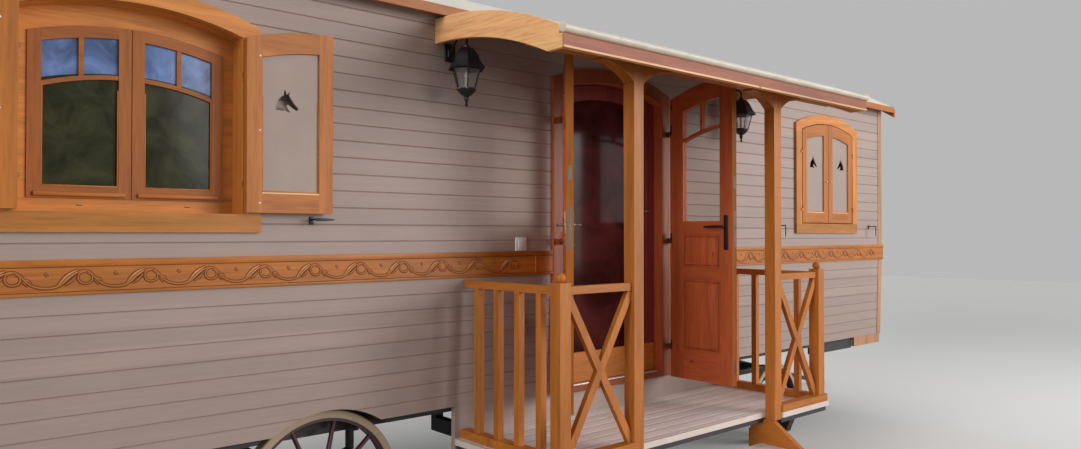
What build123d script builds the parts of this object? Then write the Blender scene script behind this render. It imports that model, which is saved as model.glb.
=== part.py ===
from build123d import *
import os
from math import asin, atan, cos, hypot, radians, sin, sqrt, tan

os.makedirs("parts", exist_ok=True)

# Millimetres. Places are given in wagon coordinates: x along the wagon from the doorway's
# centre, y across it from its middle with the porch on the -y side, z up from the ground.
# A distance d is measured outwards from the upper wall's outer face.

# Cabin
body_length = 7860
body_width = 2500
wall_foot = 814
wall_knee = 1565                # the wall leans in below this height
wall_lean = 1.6                 # degrees
core_thickness = 60
cladding_thickness = 20
upper_board = 88
lower_board = 85
groove_depth = 5
groove_half = 4
belt_height = 148
belt_proud = 12
corner_width = 70
corner_proud = 4
skirt_drop = 90                 # the wooden blocks under the corners
skirt_length = 520
skirt_thickness = 30
skirt_inset = 4

# Roof
roof_crown = 3490
roof_edge = 3110                # top of the roof at its eaves
roof_thickness = 50
eave_overhang = 80
end_overhang = 80
fascia_thickness = 22
fascia_height = 55
fascia_drop = 6                 # below the roof's top
gable_height = 80

# Floor and chassis
floor_thickness = 33
floor_inset = 36                # behind the lower wall's face
rail_height = 50
rail_width = 50
beam_spacing = 840
beam_width = 60
beam_foot = 610
cross_count = 8
cross_width = 60
chassis_inset = 60              # from the body's ends
rail_inset = 190                # from the floor's sides
front_rail_x = 2700             # where the lower rails ahead of the front wheels begin
front_rail_height = 71
hanger_half = 35
hanger_height = 60
turntable_plate = 50
outrigger_x = 900
outrigger_reach = 830           # out of the wall
outrigger_slant = 40            # its end is cut back by this at the foot
outrigger_height = 95
outrigger_width = 60

# Doorway and doors
door_half = 575                 # half the frame's outer width
door_peak = 2946
door_radius = 1460
door_frame_width = 85
door_head = 93                  # the frame over the doorway
door_frame_proud = 20
threshold = 817
leaf_thickness = 45
leaf_foot = 790
leaf_gap = 5                    # between a closed leaf and the frame's face
pin_offset = 22                 # from the frame's outer edge to the hinge pin
leaf_meeting_gap = 10           # between the two closed leaves
leaf_top_inset = 46             # from the frame's arch to the leaf's arch
leaf_edge = 8                   # from the pin's axis to the leaf's edge
hinge_stile = 118
free_stile = 105
glass_foot = 1910
glass_top_inset = 180
small_panel_z = (1585, 1814)
large_panel_z = (1001, 1498)
panel_recess = 12
panel_border = 26
field_setback = 3               # of a raised field, behind the leaf's face
field_taper = 35                # degrees
transom_inset = 365
bar_width = 20
bar_setback = 4                 # of the glazing bars, behind the leaf's face
pane_thickness = 4
right_leaf_open = 90            # degrees from closed, as photographed
left_leaf_open = 131
door_hinge_heights = (1020, 1790, 2570)
inner_door_thickness = 40
inner_door_gap = 7
inner_door_foot_rail = 200
inner_door_stile = 95
inner_door_head = 105
inner_door_setback = 4

# Windows: x of the middle, +1 on the porch side and -1 on the far side
windows = [(-3030, 1), (2850, 1), (-2300, -1), (2300, -1)]
window_half = 543
window_foot = 1827
window_peak = 2914
window_radius = 1465
window_casing = 89
casing_head = 81
window_sill = 87
window_proud = 22
dormant_width = 50
dormant_foot = 60
dormant_head = 90
dormant_depth = 30
window_lining = 65              # of the casing, into the cabin
sash_stile = 52
sash_gap = 0.3                  # round a closed sash
sash_meeting_gap = 3
sash_thickness = 34
sash_transom = 215              # below the arch

# Shutters: the window's row above, +1 for its right leaf, degrees open as photographed
shutters = [("left_outer", 0, -1, 180), ("left_inner", 0, 1, 180),
            ("right_inner", 1, -1, 0), ("right_outer", 1, 1, 0)]
shutter_thickness = 34
shutter_gap = 7
shutter_meeting_gap = 6
shutter_edge = 6                # from the pin's axis to the leaf's edge
shutter_stile = 75
shutter_foot_rail = 100
shutter_head_rail = 110
shutter_panel_thickness = 12
shutter_hinge_heights = (2050, 2570)

# Hinge pins of doors and shutters
shutter_bracket = 24            # from the pin's axis to its bracket's outer edge
shutter_bracket_height = 21
pin_radius = 6
pin_bracket = 16                # from the pin's axis to its bracket's outer edge
leaf_pin_gap = 3                # from a leaf's outer face to the pin's axis
pin_clearance = 0.05
knuckle_radius = 11
knuckle_height = 40
strap_half = 14
strap_thickness = 5
inner_bracket = (26, 4)         # each way from the inner door's pin
inner_bracket_depth = 5
inner_bracket_height = 29
inner_strap = 40
small_pin = 3                   # of the shutters and the inner door
small_knuckle = 5.5
shutter_pin_out = 4             # from the casing's face to the pin's axis
shutter_pin_in = 4              # from the casing's inner edge to the pin's axis
shutter_knuckle_height = 20

# Porch
deck_top = 627
deck_half = 1303
deck_front = 847
deck_thickness = 22
deck_board = 98
deck_board_gap = 5
joist_height = 48
joist_width = 45
edge_height = 36
edge_thickness = 15
recess_front = 757              # the deck's front between the posts
post_x = 691
post_size = 78
post_d = 811
newel_x = 1247
newel_size = 75
newel_top = 1570
ball_radius = 28
rail_top = 1550
rail_size = 42
sole_height = 50
sole_width = 65
baluster = 40
baluster_places = (120, 300, 480, 660)
brace_width = 45
brace_thickness = 30
bracket_length = 250
bracket_height = 105
bracket_tip = 12

# Canopy
canopy_half = 1475
canopy_front = 1050
canopy_crown = 3045
canopy_radius = 2450
canopy_thickness = 20
end_board_height = 140
end_board_thickness = 25
canopy_beam_foot = 2760
canopy_beam_height = 110
canopy_fascia_foot = 2696
canopy_fascia_height = 72
canopy_fascia_thickness = 26
gutter_radius = 25
gutter_wall = 4

# Steps
stair_half = 694
stringer_thickness = 42
stair_reach = 1380
stair_top = 579
stair_back = 642
stair_back_top = 496
stair_level = 826               # the cheeks' tops are level out to here
stair_slope = 0.725
stair_back_foot = 250
tread_back = 736
tread_depth = 290
tread_going = 297
tread_thickness = 30
riser = 215

# Wheels, axles and steering
rear_axle_x = -2107
rear_radius = 446
rear_rim = 41
rear_spokes = 10
front_axle_x = 2156
front_radius = 340
front_rim = 36
front_spokes = 10
spoke_turn = 6                  # degrees
felloe_width = 16
wheel_width = 70
wheel_chamfer = 5
felloe_setback = 6              # behind the tyre's sides
rear_wheel_inset = 95
front_wheel_inset = 95
arch_radius = 545
arch_top = 907
arch_box_wall = 12
arch_box_margin = 10
arch_box_depth = 80
axle_size = 60
spindle_radius = 20
spindle_end = 9                 # past the hub
washer_rim = 9
washer_thickness = 8
hub_radius = 75
hub_length = 170
hub_belly = 30                  # half its widest stretch
hub_necks = (15, 20)            # narrower by these at its inner and outer ends
spoke_root = (20, 13)
spoke_tip = (15, 11)
spring_y = 800
spring_half = 350
spring_leaf = 8
spring_leaves = 4
spring_step = 75                # each leaf is shorter by this at each end
spring_width = 60
spring_camber = 70
clamp_half = 40
clamp_height = 40
shackle_inset = 10
shackle_half = 12
shackle_dip = 12
ring_radius = 330
ring_width = 50
ring_plate = 10
ring_gap = 0.5
ring_bridge = 120               # the plate across the ring that holds the king pin
king_pin_tail = 15
king_pin_radius = 22
carriage_height = 46
bearer_width = 50
bearer_ends = (20, 30)          # past the springs, and past the drawbar's pin
bolster_half = 40
bolster_x = 300                 # ahead of the king pin and behind it
drawbar_pin_x = 520             # ahead of the king pin
drawbar_reach = 2850            # the eye's centre ahead of the king pin
drawbar_bar = 60
bar_depth = 42
bar_fork = 470                  # from the nose to where the arms part
bar_taper = 420
lug_back = 22
lug_length = 120
tie_x = 900
tie_half = 25
drawbar_spread = 260
drawbar_play = 6                # beside each arm
drawbar_pin_radius = 14
drawbar_pin_inset = 10
eye_bore = 26
eye_radius = 50
eye_thickness = 30
eye_neck = 4                    # narrower than the bar by this

# Lamps
lamp_places = (-1375, 1260)
lamp_reach = 170
lamp_glass_foot = 2634
lamp_glass_top = 2744
lamp_roof_radius = 110
lamp_glass_radii = (53, 85)
lamp_roof_height = 95
lamp_flare_radius = 60
lamp_flare_height = 38
lamp_tip_radius = 22
lamp_cup_height = 40
lamp_seat = 3                   # of the glass inside its base
lamp_stem_radius = 8
lamp_stem_length = 40
lamp_finial_radius = 9
lamp_finial_length = 50
lamp_arm = 16
lamp_arm_height = 130
lamp_plate_half = 30
lamp_plate_thickness = 10
lamp_plate_drop = 20
lamp_plate_height = 180

# Worked out from the sizes above
half_length = body_length / 2
half_width = body_width / 2
lean = tan(radians(wall_lean))
foot_inset = (wall_knee - wall_foot) * lean
core_out = -cladding_thickness
core_in = -cladding_thickness - core_thickness
belt_top = wall_knee + belt_height
eave_reach = half_width + eave_overhang
roof_radius = (eave_reach**2 + (roof_crown - roof_edge)**2) / (2 * (roof_crown - roof_edge))
roof_centre = roof_crown - roof_radius
canopy_centre = canopy_crown - canopy_radius
roof_end = half_length + end_overhang
floor_foot = wall_foot - floor_thickness
rail_foot = floor_foot - rail_height
arch_centre = arch_top - arch_radius
hanger_foot = rail_foot - hanger_height
window_count = len(windows)

# The drawbar lies with its eye on the ground.
carriage_top = beam_foot - 2 * ring_plate - ring_gap
drawbar_height = carriage_top - carriage_height / 2
drawbar_length = drawbar_reach - drawbar_pin_x
eye_tip = drawbar_length + eye_radius
tilt = asin(drawbar_height / hypot(eye_tip, eye_thickness / 2)) - atan(eye_thickness / 2 / eye_tip)
front_reach = front_axle_x + drawbar_pin_x + eye_tip * cos(tilt) + eye_thickness / 2 * sin(tilt)

# The origin is under the middle of the whole wagon, drawbar and steps included.
low_x = -(roof_end + fascia_thickness)
low_y = -(half_width + stair_reach)
high_y = eave_reach + fascia_thickness
shift = Vector(-(low_x + front_reach) / 2, -(low_y + high_y) / 2, 0)

door_side = Plane(origin=shift + Vector(0, -half_width, 0), x_dir=(1, 0, 0), z_dir=(0, -1, 0))
far_side = Plane(origin=shift + Vector(0, half_width, 0), x_dir=(-1, 0, 0), z_dir=(0, 1, 0))
end_view = Plane(origin=shift, x_dir=(0, 1, 0), z_dir=(1, 0, 0))
long_view = Plane(origin=shift, x_dir=(1, 0, 0), z_dir=(0, -1, 0))


def block(x, y, z, mode=Mode.ADD):
    """A box between pairs of wagon coordinates."""
    middle = Vector((x[0] + x[1]) / 2, (y[0] + y[1]) / 2, (z[0] + z[1]) / 2) + shift
    with Locations(middle):
        Box(abs(x[1] - x[0]), abs(y[1] - y[0]), abs(z[1] - z[0]), mode=mode)


def outwards(low, high):
    """The y pair of a porch-side piece from its distances out of the wall."""
    return (-half_width - high, -half_width - low)


def wall_face(z):
    """Distance from the wagon's middle to the outer face of the wall at a height."""
    return half_width - max(0, wall_knee - z) * lean


def roof_under(y):
    """Height of the roof's underside."""
    return roof_centre + sqrt((roof_radius - roof_thickness)**2 - y**2)


def side_profile(inner, outer, low, high, side):
    """The section of a skin that follows the wall, between two distances from its face."""
    bend = [wall_knee] if low < wall_knee < high else []
    heights = [low] + bend + [high]
    outside = [(side * (wall_face(z) + outer), z) for z in heights]
    inside = [(side * (wall_face(z) + inner), z) for z in reversed(heights)]
    Polyline(*outside, *inside, close=True)


def wall_profile(inner, outer, side):
    """A side wall's section from its foot up to the roof."""
    outside = [(wall_face(wall_foot) + outer, wall_foot), (half_width + outer, wall_knee),
               (half_width + outer, roof_under(half_width + outer))]
    inside = [(half_width + inner, roof_under(half_width + inner)),
              (half_width + inner, wall_knee), (wall_face(wall_foot) + inner, wall_foot)]
    Polyline(*[(side * y, z) for y, z in outside + inside], close=True)


def along_x(x0, x1, profile, *values, mode=Mode.ADD):
    """Extrudes a section drawn across the wagon from x0 to x1."""
    with BuildSketch(end_view.offset(x0)) as section:
        with BuildLine():
            profile(*values)
        make_face()
    extrude(section.sketch, amount=x1 - x0, mode=mode)


def arch(radius, peak, inset=0):
    """Height of an arch's curve at a distance from its middle."""
    return lambda x: peak - radius + sqrt((radius - inset)**2 - x**2)


def under_arch(x0, x1, foot, top):
    """A closed outline with a level foot and an arched top."""
    Line((x0, foot), (x1, foot))
    Line((x1, foot), (x1, top(x1)))
    ThreePointArc((x1, top(x1)), ((x0 + x1) / 2, top((x0 + x1) / 2)), (x0, top(x0)))
    Line((x0, top(x0)), (x0, foot))


def between_arches(x0, x1, low, high):
    """A closed outline between two arched curves."""
    ThreePointArc((x0, low(x0)), ((x0 + x1) / 2, low((x0 + x1) / 2)), (x1, low(x1)))
    Line((x1, low(x1)), (x1, high(x1)))
    ThreePointArc((x1, high(x1)), ((x0 + x1) / 2, high((x0 + x1) / 2)), (x0, high(x0)))
    Line((x0, high(x0)), (x0, low(x0)))


def slab(plane, low, high, outline, *values, mode=Mode.ADD):
    """Extrudes an outline drawn on a plane between two offsets from it."""
    with BuildSketch(plane.offset(low)) as section:
        with BuildLine():
            outline(*values)
        make_face()
    extrude(section.sketch, amount=high - low, mode=mode)


def window_plane(index):
    """The plane of a window, with its middle at x = 0."""
    x, side = windows[index]
    base = door_side if side > 0 else far_side
    return Plane(origin=base.origin + base.x_dir * x * side, x_dir=base.x_dir, z_dir=base.z_dir)


def finish(shape, name):
    shape.label = name
    export_step(shape, f"parts/{name}.step")


window_arch = arch(window_radius, window_peak)
window_inner_arch = arch(window_radius, window_peak, casing_head)
window_inner_half = window_half - window_casing
door_arch = arch(door_radius, door_peak)
door_inner_arch = arch(door_radius, door_peak, door_head)
door_inner_half = door_half - door_frame_width


def cut_openings(side, low, high):
    """Cuts the windows, and the doorway on the porch side, through a wall."""
    for index in range(window_count):
        if windows[index][1] == side:
            slab(window_plane(index), low, high, under_arch, -window_half, window_half,
                 window_foot, window_arch, mode=Mode.SUBTRACT)
    if side > 0:
        slab(door_side, low, high, under_arch, -door_half, door_half, floor_foot, door_arch,
             mode=Mode.SUBTRACT)


def cut_wheel_arches(radius, low, high):
    """Cuts the rear wheels' arches on both sides, between distances out of the wall."""
    for side in (1, -1):
        centre = Vector(rear_axle_x, -side * (half_width + (low + high) / 2), arch_centre) + shift
        with Locations(Location(centre, (90, 0, 0))):
            Cylinder(radius, high - low, mode=Mode.SUBTRACT)


def cut_box_arches():
    cut_wheel_arches(arch_radius + arch_box_wall, box_in - arch_box_wall, through)


def timber(x, y, z):
    """A beam as a solid of its own, cut where the rear wheels' boxes are."""
    with BuildPart() as piece:
        block(x, y, z)
        cut_box_arches()
    return piece.part.solids()


# Side walls
wall_depth = (core_in - foot_inset - 10, 10)
through = 100                   # past a wall's face, for a cut that goes right through
wall_reach = 300
box_in = -foot_inset + core_in - arch_box_depth
for name, side in (("wall_door_side", 1), ("wall_far_side", -1)):
    with BuildPart() as wall:
        along_x(-half_length + cladding_thickness, half_length - cladding_thickness,
                wall_profile, core_in, core_out, -side)
        cut_openings(side, *wall_depth)
        cut_wheel_arches(arch_radius, -wall_reach, through)
    finish(wall.part, name)


def end_profile():
    """The end wall's section between the side walls, up to the roof."""
    y = half_width + core_in
    foot_y = wall_face(wall_foot) + core_in
    Polyline((-y, roof_under(y)), (-y, wall_knee), (-foot_y, wall_foot), (foot_y, wall_foot),
             (y, wall_knee), (y, roof_under(y)))
    ThreePointArc((y, roof_under(y)), (0, roof_under(0)), (-y, roof_under(y)))


with BuildPart() as walls_ends:
    for end in (-1, 1):
        along_x(end * (half_length + core_in), end * (half_length + core_out), end_profile)
finish(walls_ends.part, "walls_ends")


# Cladding boards with a groove at each joint
def board_profile(low, high, board, side):
    """The grooved section of a run of boards from low to high."""
    points = [(wall_face(low), low)]
    joint = high - board
    joints = []
    while joint > low + board / 3:
        joints.insert(0, joint)
        joint -= board
    for z in joints:
        points += [(wall_face(z - groove_half), z - groove_half), (wall_face(z) - groove_depth, z),
                   (wall_face(z + groove_half), z + groove_half)]
    points.append((wall_face(high), high))
    points += [(wall_face(high) + core_out, high), (wall_face(low) + core_out, low)]
    Polyline(*[(side * y, z) for y, z in points], close=True)


clad_top = roof_under(half_width)
clad_half = half_length - corner_width
for name, side in (("cladding_door_side", 1), ("cladding_far_side", -1)):
    with BuildPart() as cladding:
        along_x(-clad_half, clad_half, board_profile, belt_top, clad_top, upper_board, -side)
        along_x(-clad_half, clad_half, board_profile, wall_foot, wall_knee, lower_board, -side)
        cut_openings(side, *wall_depth)
        cut_wheel_arches(arch_radius, -wall_reach, through)
    finish(cladding.part, name)


def end_cladding(end):
    """Grooved boards over an end wall, above and below the belt."""
    y = half_width - corner_width
    foot_y = wall_face(wall_foot) - corner_width
    x = end * half_length
    inner = end * (half_length + core_out)
    along_x(inner, x, lambda: end_upper(y))
    along_x(inner, x, lambda: Polyline((-y, wall_knee), (-foot_y, wall_foot), (foot_y, wall_foot),
                                       (y, wall_knee), close=True))
    for low, high, board in ((belt_top, roof_under(0), upper_board),
                             (wall_foot, wall_knee, lower_board)):
        joint = high - board
        while joint > low + board / 3:
            with BuildSketch(long_view.offset(-half_width)) as groove:
                with BuildLine():
                    Polyline((x + end, joint - groove_half), (x - end * groove_depth, joint),
                             (x + end, joint + groove_half), close=True)
                make_face()
            extrude(groove.sketch, amount=body_width, mode=Mode.SUBTRACT)
            joint -= board


def end_upper(y):
    """The outline of an end's boards above the belt."""
    Polyline((-y, roof_under(y)), (-y, belt_top), (y, belt_top), (y, roof_under(y)))
    ThreePointArc((y, roof_under(y)), (0, roof_under(0)), (-y, roof_under(y)))


with BuildPart() as cladding_ends:
    for end in (-1, 1):
        end_cladding(end)
finish(cladding_ends.part, "cladding_ends")

# Carved belt's boards, round all four sides
belt_half = half_length + belt_proud
belt_in = half_width + core_out
belt_out = half_width + belt_proud
belt_rail = timber((-belt_half, belt_half), (belt_in, belt_out), (wall_knee, belt_top))
for end in (-1, 1):
    belt_rail += timber((end * door_half, end * belt_half), (-belt_in, -belt_out),
                        (wall_knee, belt_top))
    belt_rail += timber((end * (half_length + core_out), end * belt_half), (-belt_in, belt_in),
                        (wall_knee, belt_top))
finish(Compound(belt_rail), "belt_rail")

# Corner boards above and below the belt, and the wooden skirt blocks under them
with BuildPart() as corner_boards:
    for end in (-1, 1):
        for side in (-1, 1):
            far_x = end * (half_length + corner_proud)
            near_x = end * clad_half
            board_top = roof_under(half_width + corner_proud) - 1
            for low, high in ((wall_foot, wall_knee), (belt_top, board_top)):
                along_x(min(near_x, far_x), max(near_x, far_x), side_profile, core_out,
                        corner_proud, low, high, side)
                back_x = end * (half_length + core_out)
                along_x(min(back_x, far_x), max(back_x, far_x), side_profile, -corner_width,
                        core_out, low, high, side)
corners = corner_boards.part.solids()
skirt_z = (wall_foot - skirt_drop, wall_foot)
skirt_out = half_width - foot_inset - skirt_inset
skirt_in = skirt_out - skirt_thickness
skirt_x = half_length - skirt_inset
for end in (-1, 1):
    for side in (-1, 1):
        corners += timber((end * (half_length - skirt_length), end * skirt_x),
                          (side * skirt_in, side * skirt_out), skirt_z)
    corners += timber((end * skirt_x, end * (skirt_x - skirt_thickness)), (-skirt_in, skirt_in),
                      skirt_z)
finish(Compound(corners), "corner_boards")


# Roof
def roof_section(outer, inner, reach):
    """The barrel roof's section, cut off upright at its eaves."""
    high = [(y, roof_centre + sqrt(outer**2 - y**2)) for y in (-reach, 0, reach)]
    low = [(y, roof_centre + sqrt(inner**2 - y**2)) for y in (reach, 0, -reach)]
    ThreePointArc(*high)
    Line(high[2], low[0])
    ThreePointArc(*low)
    Line(low[2], high[0])


with BuildPart() as roof:
    along_x(-roof_end, roof_end, roof_section, roof_radius, roof_radius - roof_thickness,
            eave_reach)
finish(roof.part, "roof")

with BuildPart() as gable_boards:
    for end in (-1, 1):
        along_x(end * roof_end, end * (roof_end + fascia_thickness), roof_section,
                roof_radius - fascia_drop, roof_radius - gable_height,
                eave_reach + fascia_thickness)
eave_boards = gable_boards.part.solids()
fascia_top = roof_edge - fascia_drop
for side in (-1, 1):
    eave_boards += timber((-roof_end, roof_end),
                          (side * eave_reach, side * (eave_reach + fascia_thickness)),
                          (fascia_top - fascia_height, fascia_top))
finish(Compound(eave_boards), "eave_boards")

# Floor, with room for the rear wheels and the door frame
edge_y = half_width - foot_inset - floor_inset
floor_x = half_length - skirt_inset - skirt_thickness - 2
with BuildPart() as cabin_floor:
    block((-floor_x, floor_x), (-edge_y, edge_y), (floor_foot, wall_foot))
    block((-door_half, door_half), outwards(core_in - foot_inset, through),
          (rail_foot, wall_knee), mode=Mode.SUBTRACT)
    cut_box_arches()
finish(cabin_floor.part, "cabin_floor")

# Wheel boxes inside the cabin
with BuildPart() as wheel_boxes:
    box_out = -foot_inset + core_in - 2
    for side in (1, -1):
        plane = door_side if side > 0 else far_side
        centre = (side * rear_axle_x, arch_centre)
        with BuildSketch(plane.offset(box_in - arch_box_wall)):
            with Locations(centre):
                Circle(arch_radius + arch_box_wall)
        extrude(amount=box_out - box_in + arch_box_wall)
        with BuildSketch(plane.offset(box_in)):
            with Locations(centre):
                Circle(arch_radius)
        extrude(amount=box_out - box_in, mode=Mode.SUBTRACT)
    wide = arch_radius + arch_box_wall + arch_box_margin
    block((rear_axle_x - wide, rear_axle_x + wide), (-half_width, half_width),
          (arch_centre - wide, floor_foot), mode=Mode.SUBTRACT)
finish(wheel_boxes.part, "wheel_boxes")

# Chassis: cross members and edge rails over two main beams, and the porch's outriggers
chassis_half = half_length - chassis_inset
rail_y = edge_y - rail_inset
beam_in = (beam_spacing - beam_width) / 2
beam_out = (beam_spacing + beam_width) / 2
cross_half = cross_width / 2
rail_z = (rail_foot, floor_foot)
first_cross = -chassis_half + cross_half
cross_places = [first_cross - 2 * first_cross * i / (cross_count - 1) for i in range(cross_count)]
beam_end = front_axle_x + ring_radius + ring_width
chassis = []
for x in cross_places:
    chassis += timber((x - cross_half, x + cross_half), (rail_width - rail_y, rail_y - rail_width),
                      rail_z)
for side in (-1, 1):
    beam_y = (side * beam_in, side * beam_out)
    chassis += timber((-chassis_half, beam_end), beam_y, (beam_foot, rail_foot))
    chassis += timber((-chassis_half, chassis_half), (side * rail_y, side * (rail_y - rail_width)),
                      rail_z)
    chassis += timber((front_rail_x, half_length - skirt_length),
                      (side * edge_y, side * (edge_y - rail_width)),
                      (floor_foot - front_rail_height, floor_foot))
    for near, far in zip(cross_places[-3:], cross_places[-2:]):
        chassis += timber((near + cross_half, far - cross_half), beam_y, rail_z)
    for x in (rear_axle_x - spring_half, rear_axle_x + spring_half):
        hanger_y = (side * (spring_y - hanger_half), side * (spring_y + hanger_half))
        chassis += timber((x - cross_half, x + cross_half), hanger_y, (hanger_foot, rail_foot))
        chassis += timber((x - cross_half, x + cross_half), (side * beam_out, hanger_y[1]), rail_z)
arm_top = deck_top - deck_thickness - joist_height
arm_z = (arm_top - outrigger_height, arm_top)


def arm_profile():
    """An outrigger's side, with its end cut back at the foot."""
    tip = -half_width - outrigger_reach
    Polyline((-beam_out, arm_z[0]), (-beam_out, arm_top), (tip, arm_top),
             (tip + outrigger_slant, arm_z[0]), close=True)


for x in (-outrigger_x, outrigger_x):
    arm_x = (x - outrigger_width / 2, x + outrigger_width / 2)
    chassis += timber(arm_x, (-beam_out, -beam_in), (arm_z[0], beam_foot))
    with BuildPart() as arm:
        along_x(*arm_x, arm_profile)
    chassis += arm.part.solids()
chassis += timber((front_axle_x - ring_radius, front_axle_x + ring_radius), (-beam_in, beam_in),
                  (beam_foot, beam_foot + turntable_plate))
finish(Compound(chassis), "chassis")

# Turntable's fixed ring, with the king pin
with BuildPart() as turntable_ring:
    with BuildSketch(Plane(origin=shift + Vector(front_axle_x, 0, beam_foot))):
        Circle(ring_radius)
        Circle(ring_radius - ring_width, mode=Mode.SUBTRACT)
        Rectangle(2 * ring_radius - ring_width, ring_bridge)
    extrude(amount=-ring_plate)
    with BuildSketch(Plane(origin=shift + Vector(front_axle_x, 0, beam_foot))):
        Circle(king_pin_radius)
    extrude(amount=-(2 * ring_plate + carriage_height + king_pin_tail))
finish(turntable_ring.part, "turntable_ring")


def spring_leaves_at(x, y, foot):
    """A stack of leaves, longest on top, sagging to its middle."""
    radius = (spring_half**2 + spring_camber**2) / (2 * spring_camber)
    stack = spring_leaf * spring_leaves
    plane = Plane(origin=Vector(x, y + spring_width / 2, foot + stack + radius) + shift,
                  x_dir=(1, 0, 0), z_dir=(0, -1, 0))
    with BuildSketch(plane) as stack_side:
        for i in range(spring_leaves):
            inner = radius + i * spring_leaf
            outer = inner + spring_leaf + (1 if i < spring_leaves - 1 else 0)
            sweep = (spring_half - i * spring_step) / radius
            tips = [(r * sin(a), -r * cos(a)) for r, a in
                    ((inner, -sweep), (inner, 0), (inner, sweep),
                     (outer, sweep), (outer, 0), (outer, -sweep))]
            with BuildLine():
                ThreePointArc(*tips[:3])
                Line(tips[2], tips[3])
                ThreePointArc(*tips[3:])
                Line(tips[5], tips[0])
            make_face()
    extrude(stack_side.sketch, amount=spring_width)


def axle(x, height, wheel_inset, gauge):
    """A square axle beam with a round spindle at each end."""
    block((x - axle_size / 2, x + axle_size / 2), (-gauge, gauge),
          (height - axle_size / 2, height + axle_size / 2))
    face = half_width - wheel_inset + hub_length / 2 - wheel_width / 2
    with Locations(Location(Vector(x, 0, height) + shift, (90, 0, 0))):
        Cylinder(spindle_radius, 2 * (face + spindle_end - 1))
    for side in (-1, 1):
        washer = face + spindle_end - washer_thickness / 2
        with Locations(Location(Vector(x, side * washer, height) + shift, (90, 0, 0))):
            Cylinder(spindle_radius + washer_rim, washer_thickness)


def sprung_axle(x, radius, wheel_inset, hanging):
    """An axle and its two springs, hung from a height."""
    hub_in = half_width - wheel_inset - (wheel_width + hub_length) / 2
    seat = radius + axle_size / 2
    with BuildPart() as beam:
        axle(x, radius, wheel_inset, hub_in - 1)
    pieces = beam.part.solids()
    for side in (-1, 1):
        with BuildPart() as spring:
            spring_leaves_at(x, side * spring_y, seat)
            clamp_y = (side * (spring_y - clamp_half), side * (spring_y + clamp_half))
            block((x - clamp_half, x + clamp_half), clamp_y, (seat, seat + clamp_height))
            tip = seat + spring_leaf * spring_leaves + spring_camber - shackle_dip
            for end in (x - spring_half + shackle_inset, x + spring_half - shackle_inset):
                block((end - shackle_half, end + shackle_half),
                      (side * (spring_y - spring_width / 2), side * (spring_y + spring_width / 2)),
                      (tip, hanging))
        pieces += spring.part.solids()
    return Compound(pieces)


finish(sprung_axle(rear_axle_x, rear_radius, rear_wheel_inset, hanger_foot), "rear_axle")
finish(sprung_axle(front_axle_x, front_radius, front_wheel_inset, carriage_top - carriage_height),
       "front_axle")

# The drawbar's pin and directions
tow_dir = Vector(cos(tilt), 0, -sin(tilt))
tow_up = Vector(sin(tilt), 0, cos(tilt))
tow_pin = Vector(front_axle_x + drawbar_pin_x, 0, drawbar_height) + shift
tow_plane = Plane(origin=tow_pin, x_dir=tow_dir, z_dir=tow_up)

# Steered carriage: the lower ring, and bearers with cross pieces between them
carriage_z = (carriage_top - carriage_height, carriage_top)
bearer_half = bearer_width / 2
with BuildPart() as lower_ring:
    with BuildSketch(Plane(origin=shift + Vector(front_axle_x, 0, carriage_top))):
        Circle(ring_radius)
        Circle(ring_radius - ring_width, mode=Mode.SUBTRACT)
    extrude(amount=ring_plate)
carriage = lower_ring.part.solids()
for side in (-1, 1):
    y = side * spring_y
    reach = spring_half + bearer_ends[0]
    carriage += timber((front_axle_x - reach, front_axle_x + reach),
                       (y - bearer_half, y + bearer_half), carriage_z)
    y = side * drawbar_spread
    with BuildPart() as bearer:
        block((front_axle_x - ring_radius, front_axle_x + drawbar_pin_x + bearer_ends[1]),
              (y - bearer_half, y + bearer_half), carriage_z)
        with Locations(Location(tow_pin, (90, 0, 0))):
            Cylinder(drawbar_pin_radius + pin_clearance, 2 * spring_y, mode=Mode.SUBTRACT)
    carriage += bearer.part.solids()
for x in (-bolster_x, 0, bolster_x):
    bolster = (front_axle_x + x - bolster_half, front_axle_x + x + bolster_half)
    for low, high in ((-spring_y, -drawbar_spread), (-drawbar_spread, drawbar_spread),
                      (drawbar_spread, spring_y)):
        with BuildPart() as crossing:
            block(bolster, (low + bearer_half, high - bearer_half), carriage_z)
            with Locations(Vector(front_axle_x, 0, carriage_top) + shift):
                Cylinder(king_pin_radius + pin_clearance, 3 * carriage_height, mode=Mode.SUBTRACT)
        carriage += crossing.part.solids()
finish(Compound(carriage), "front_carriage")

# Drawbar, resting with its eye on the ground
half_bar = drawbar_bar / 2
arm_y = drawbar_spread - bearer_half - drawbar_play - half_bar
nose = drawbar_length - eye_radius
bar_plane = tow_plane.offset(-bar_depth / 2)


def tow_member(*points):
    """A flat member of the drawbar between its top and underside, with the pin's bores."""
    with BuildPart() as member:
        with BuildSketch(bar_plane) as outline:
            with BuildLine():
                Polyline(*points, close=True)
            make_face()
        extrude(outline.sketch, amount=bar_depth)
        with Locations(Location(tow_pin, (90, 0, 0))):
            Cylinder(drawbar_pin_radius, body_width, mode=Mode.SUBTRACT)
    return member.part.solids()


def arm_inside(x):
    """Distance of an arm's inner edge from the drawbar's middle."""
    return (arm_y - half_bar) * (nose - bar_fork - x) / (nose - bar_fork - lug_length)


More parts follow.
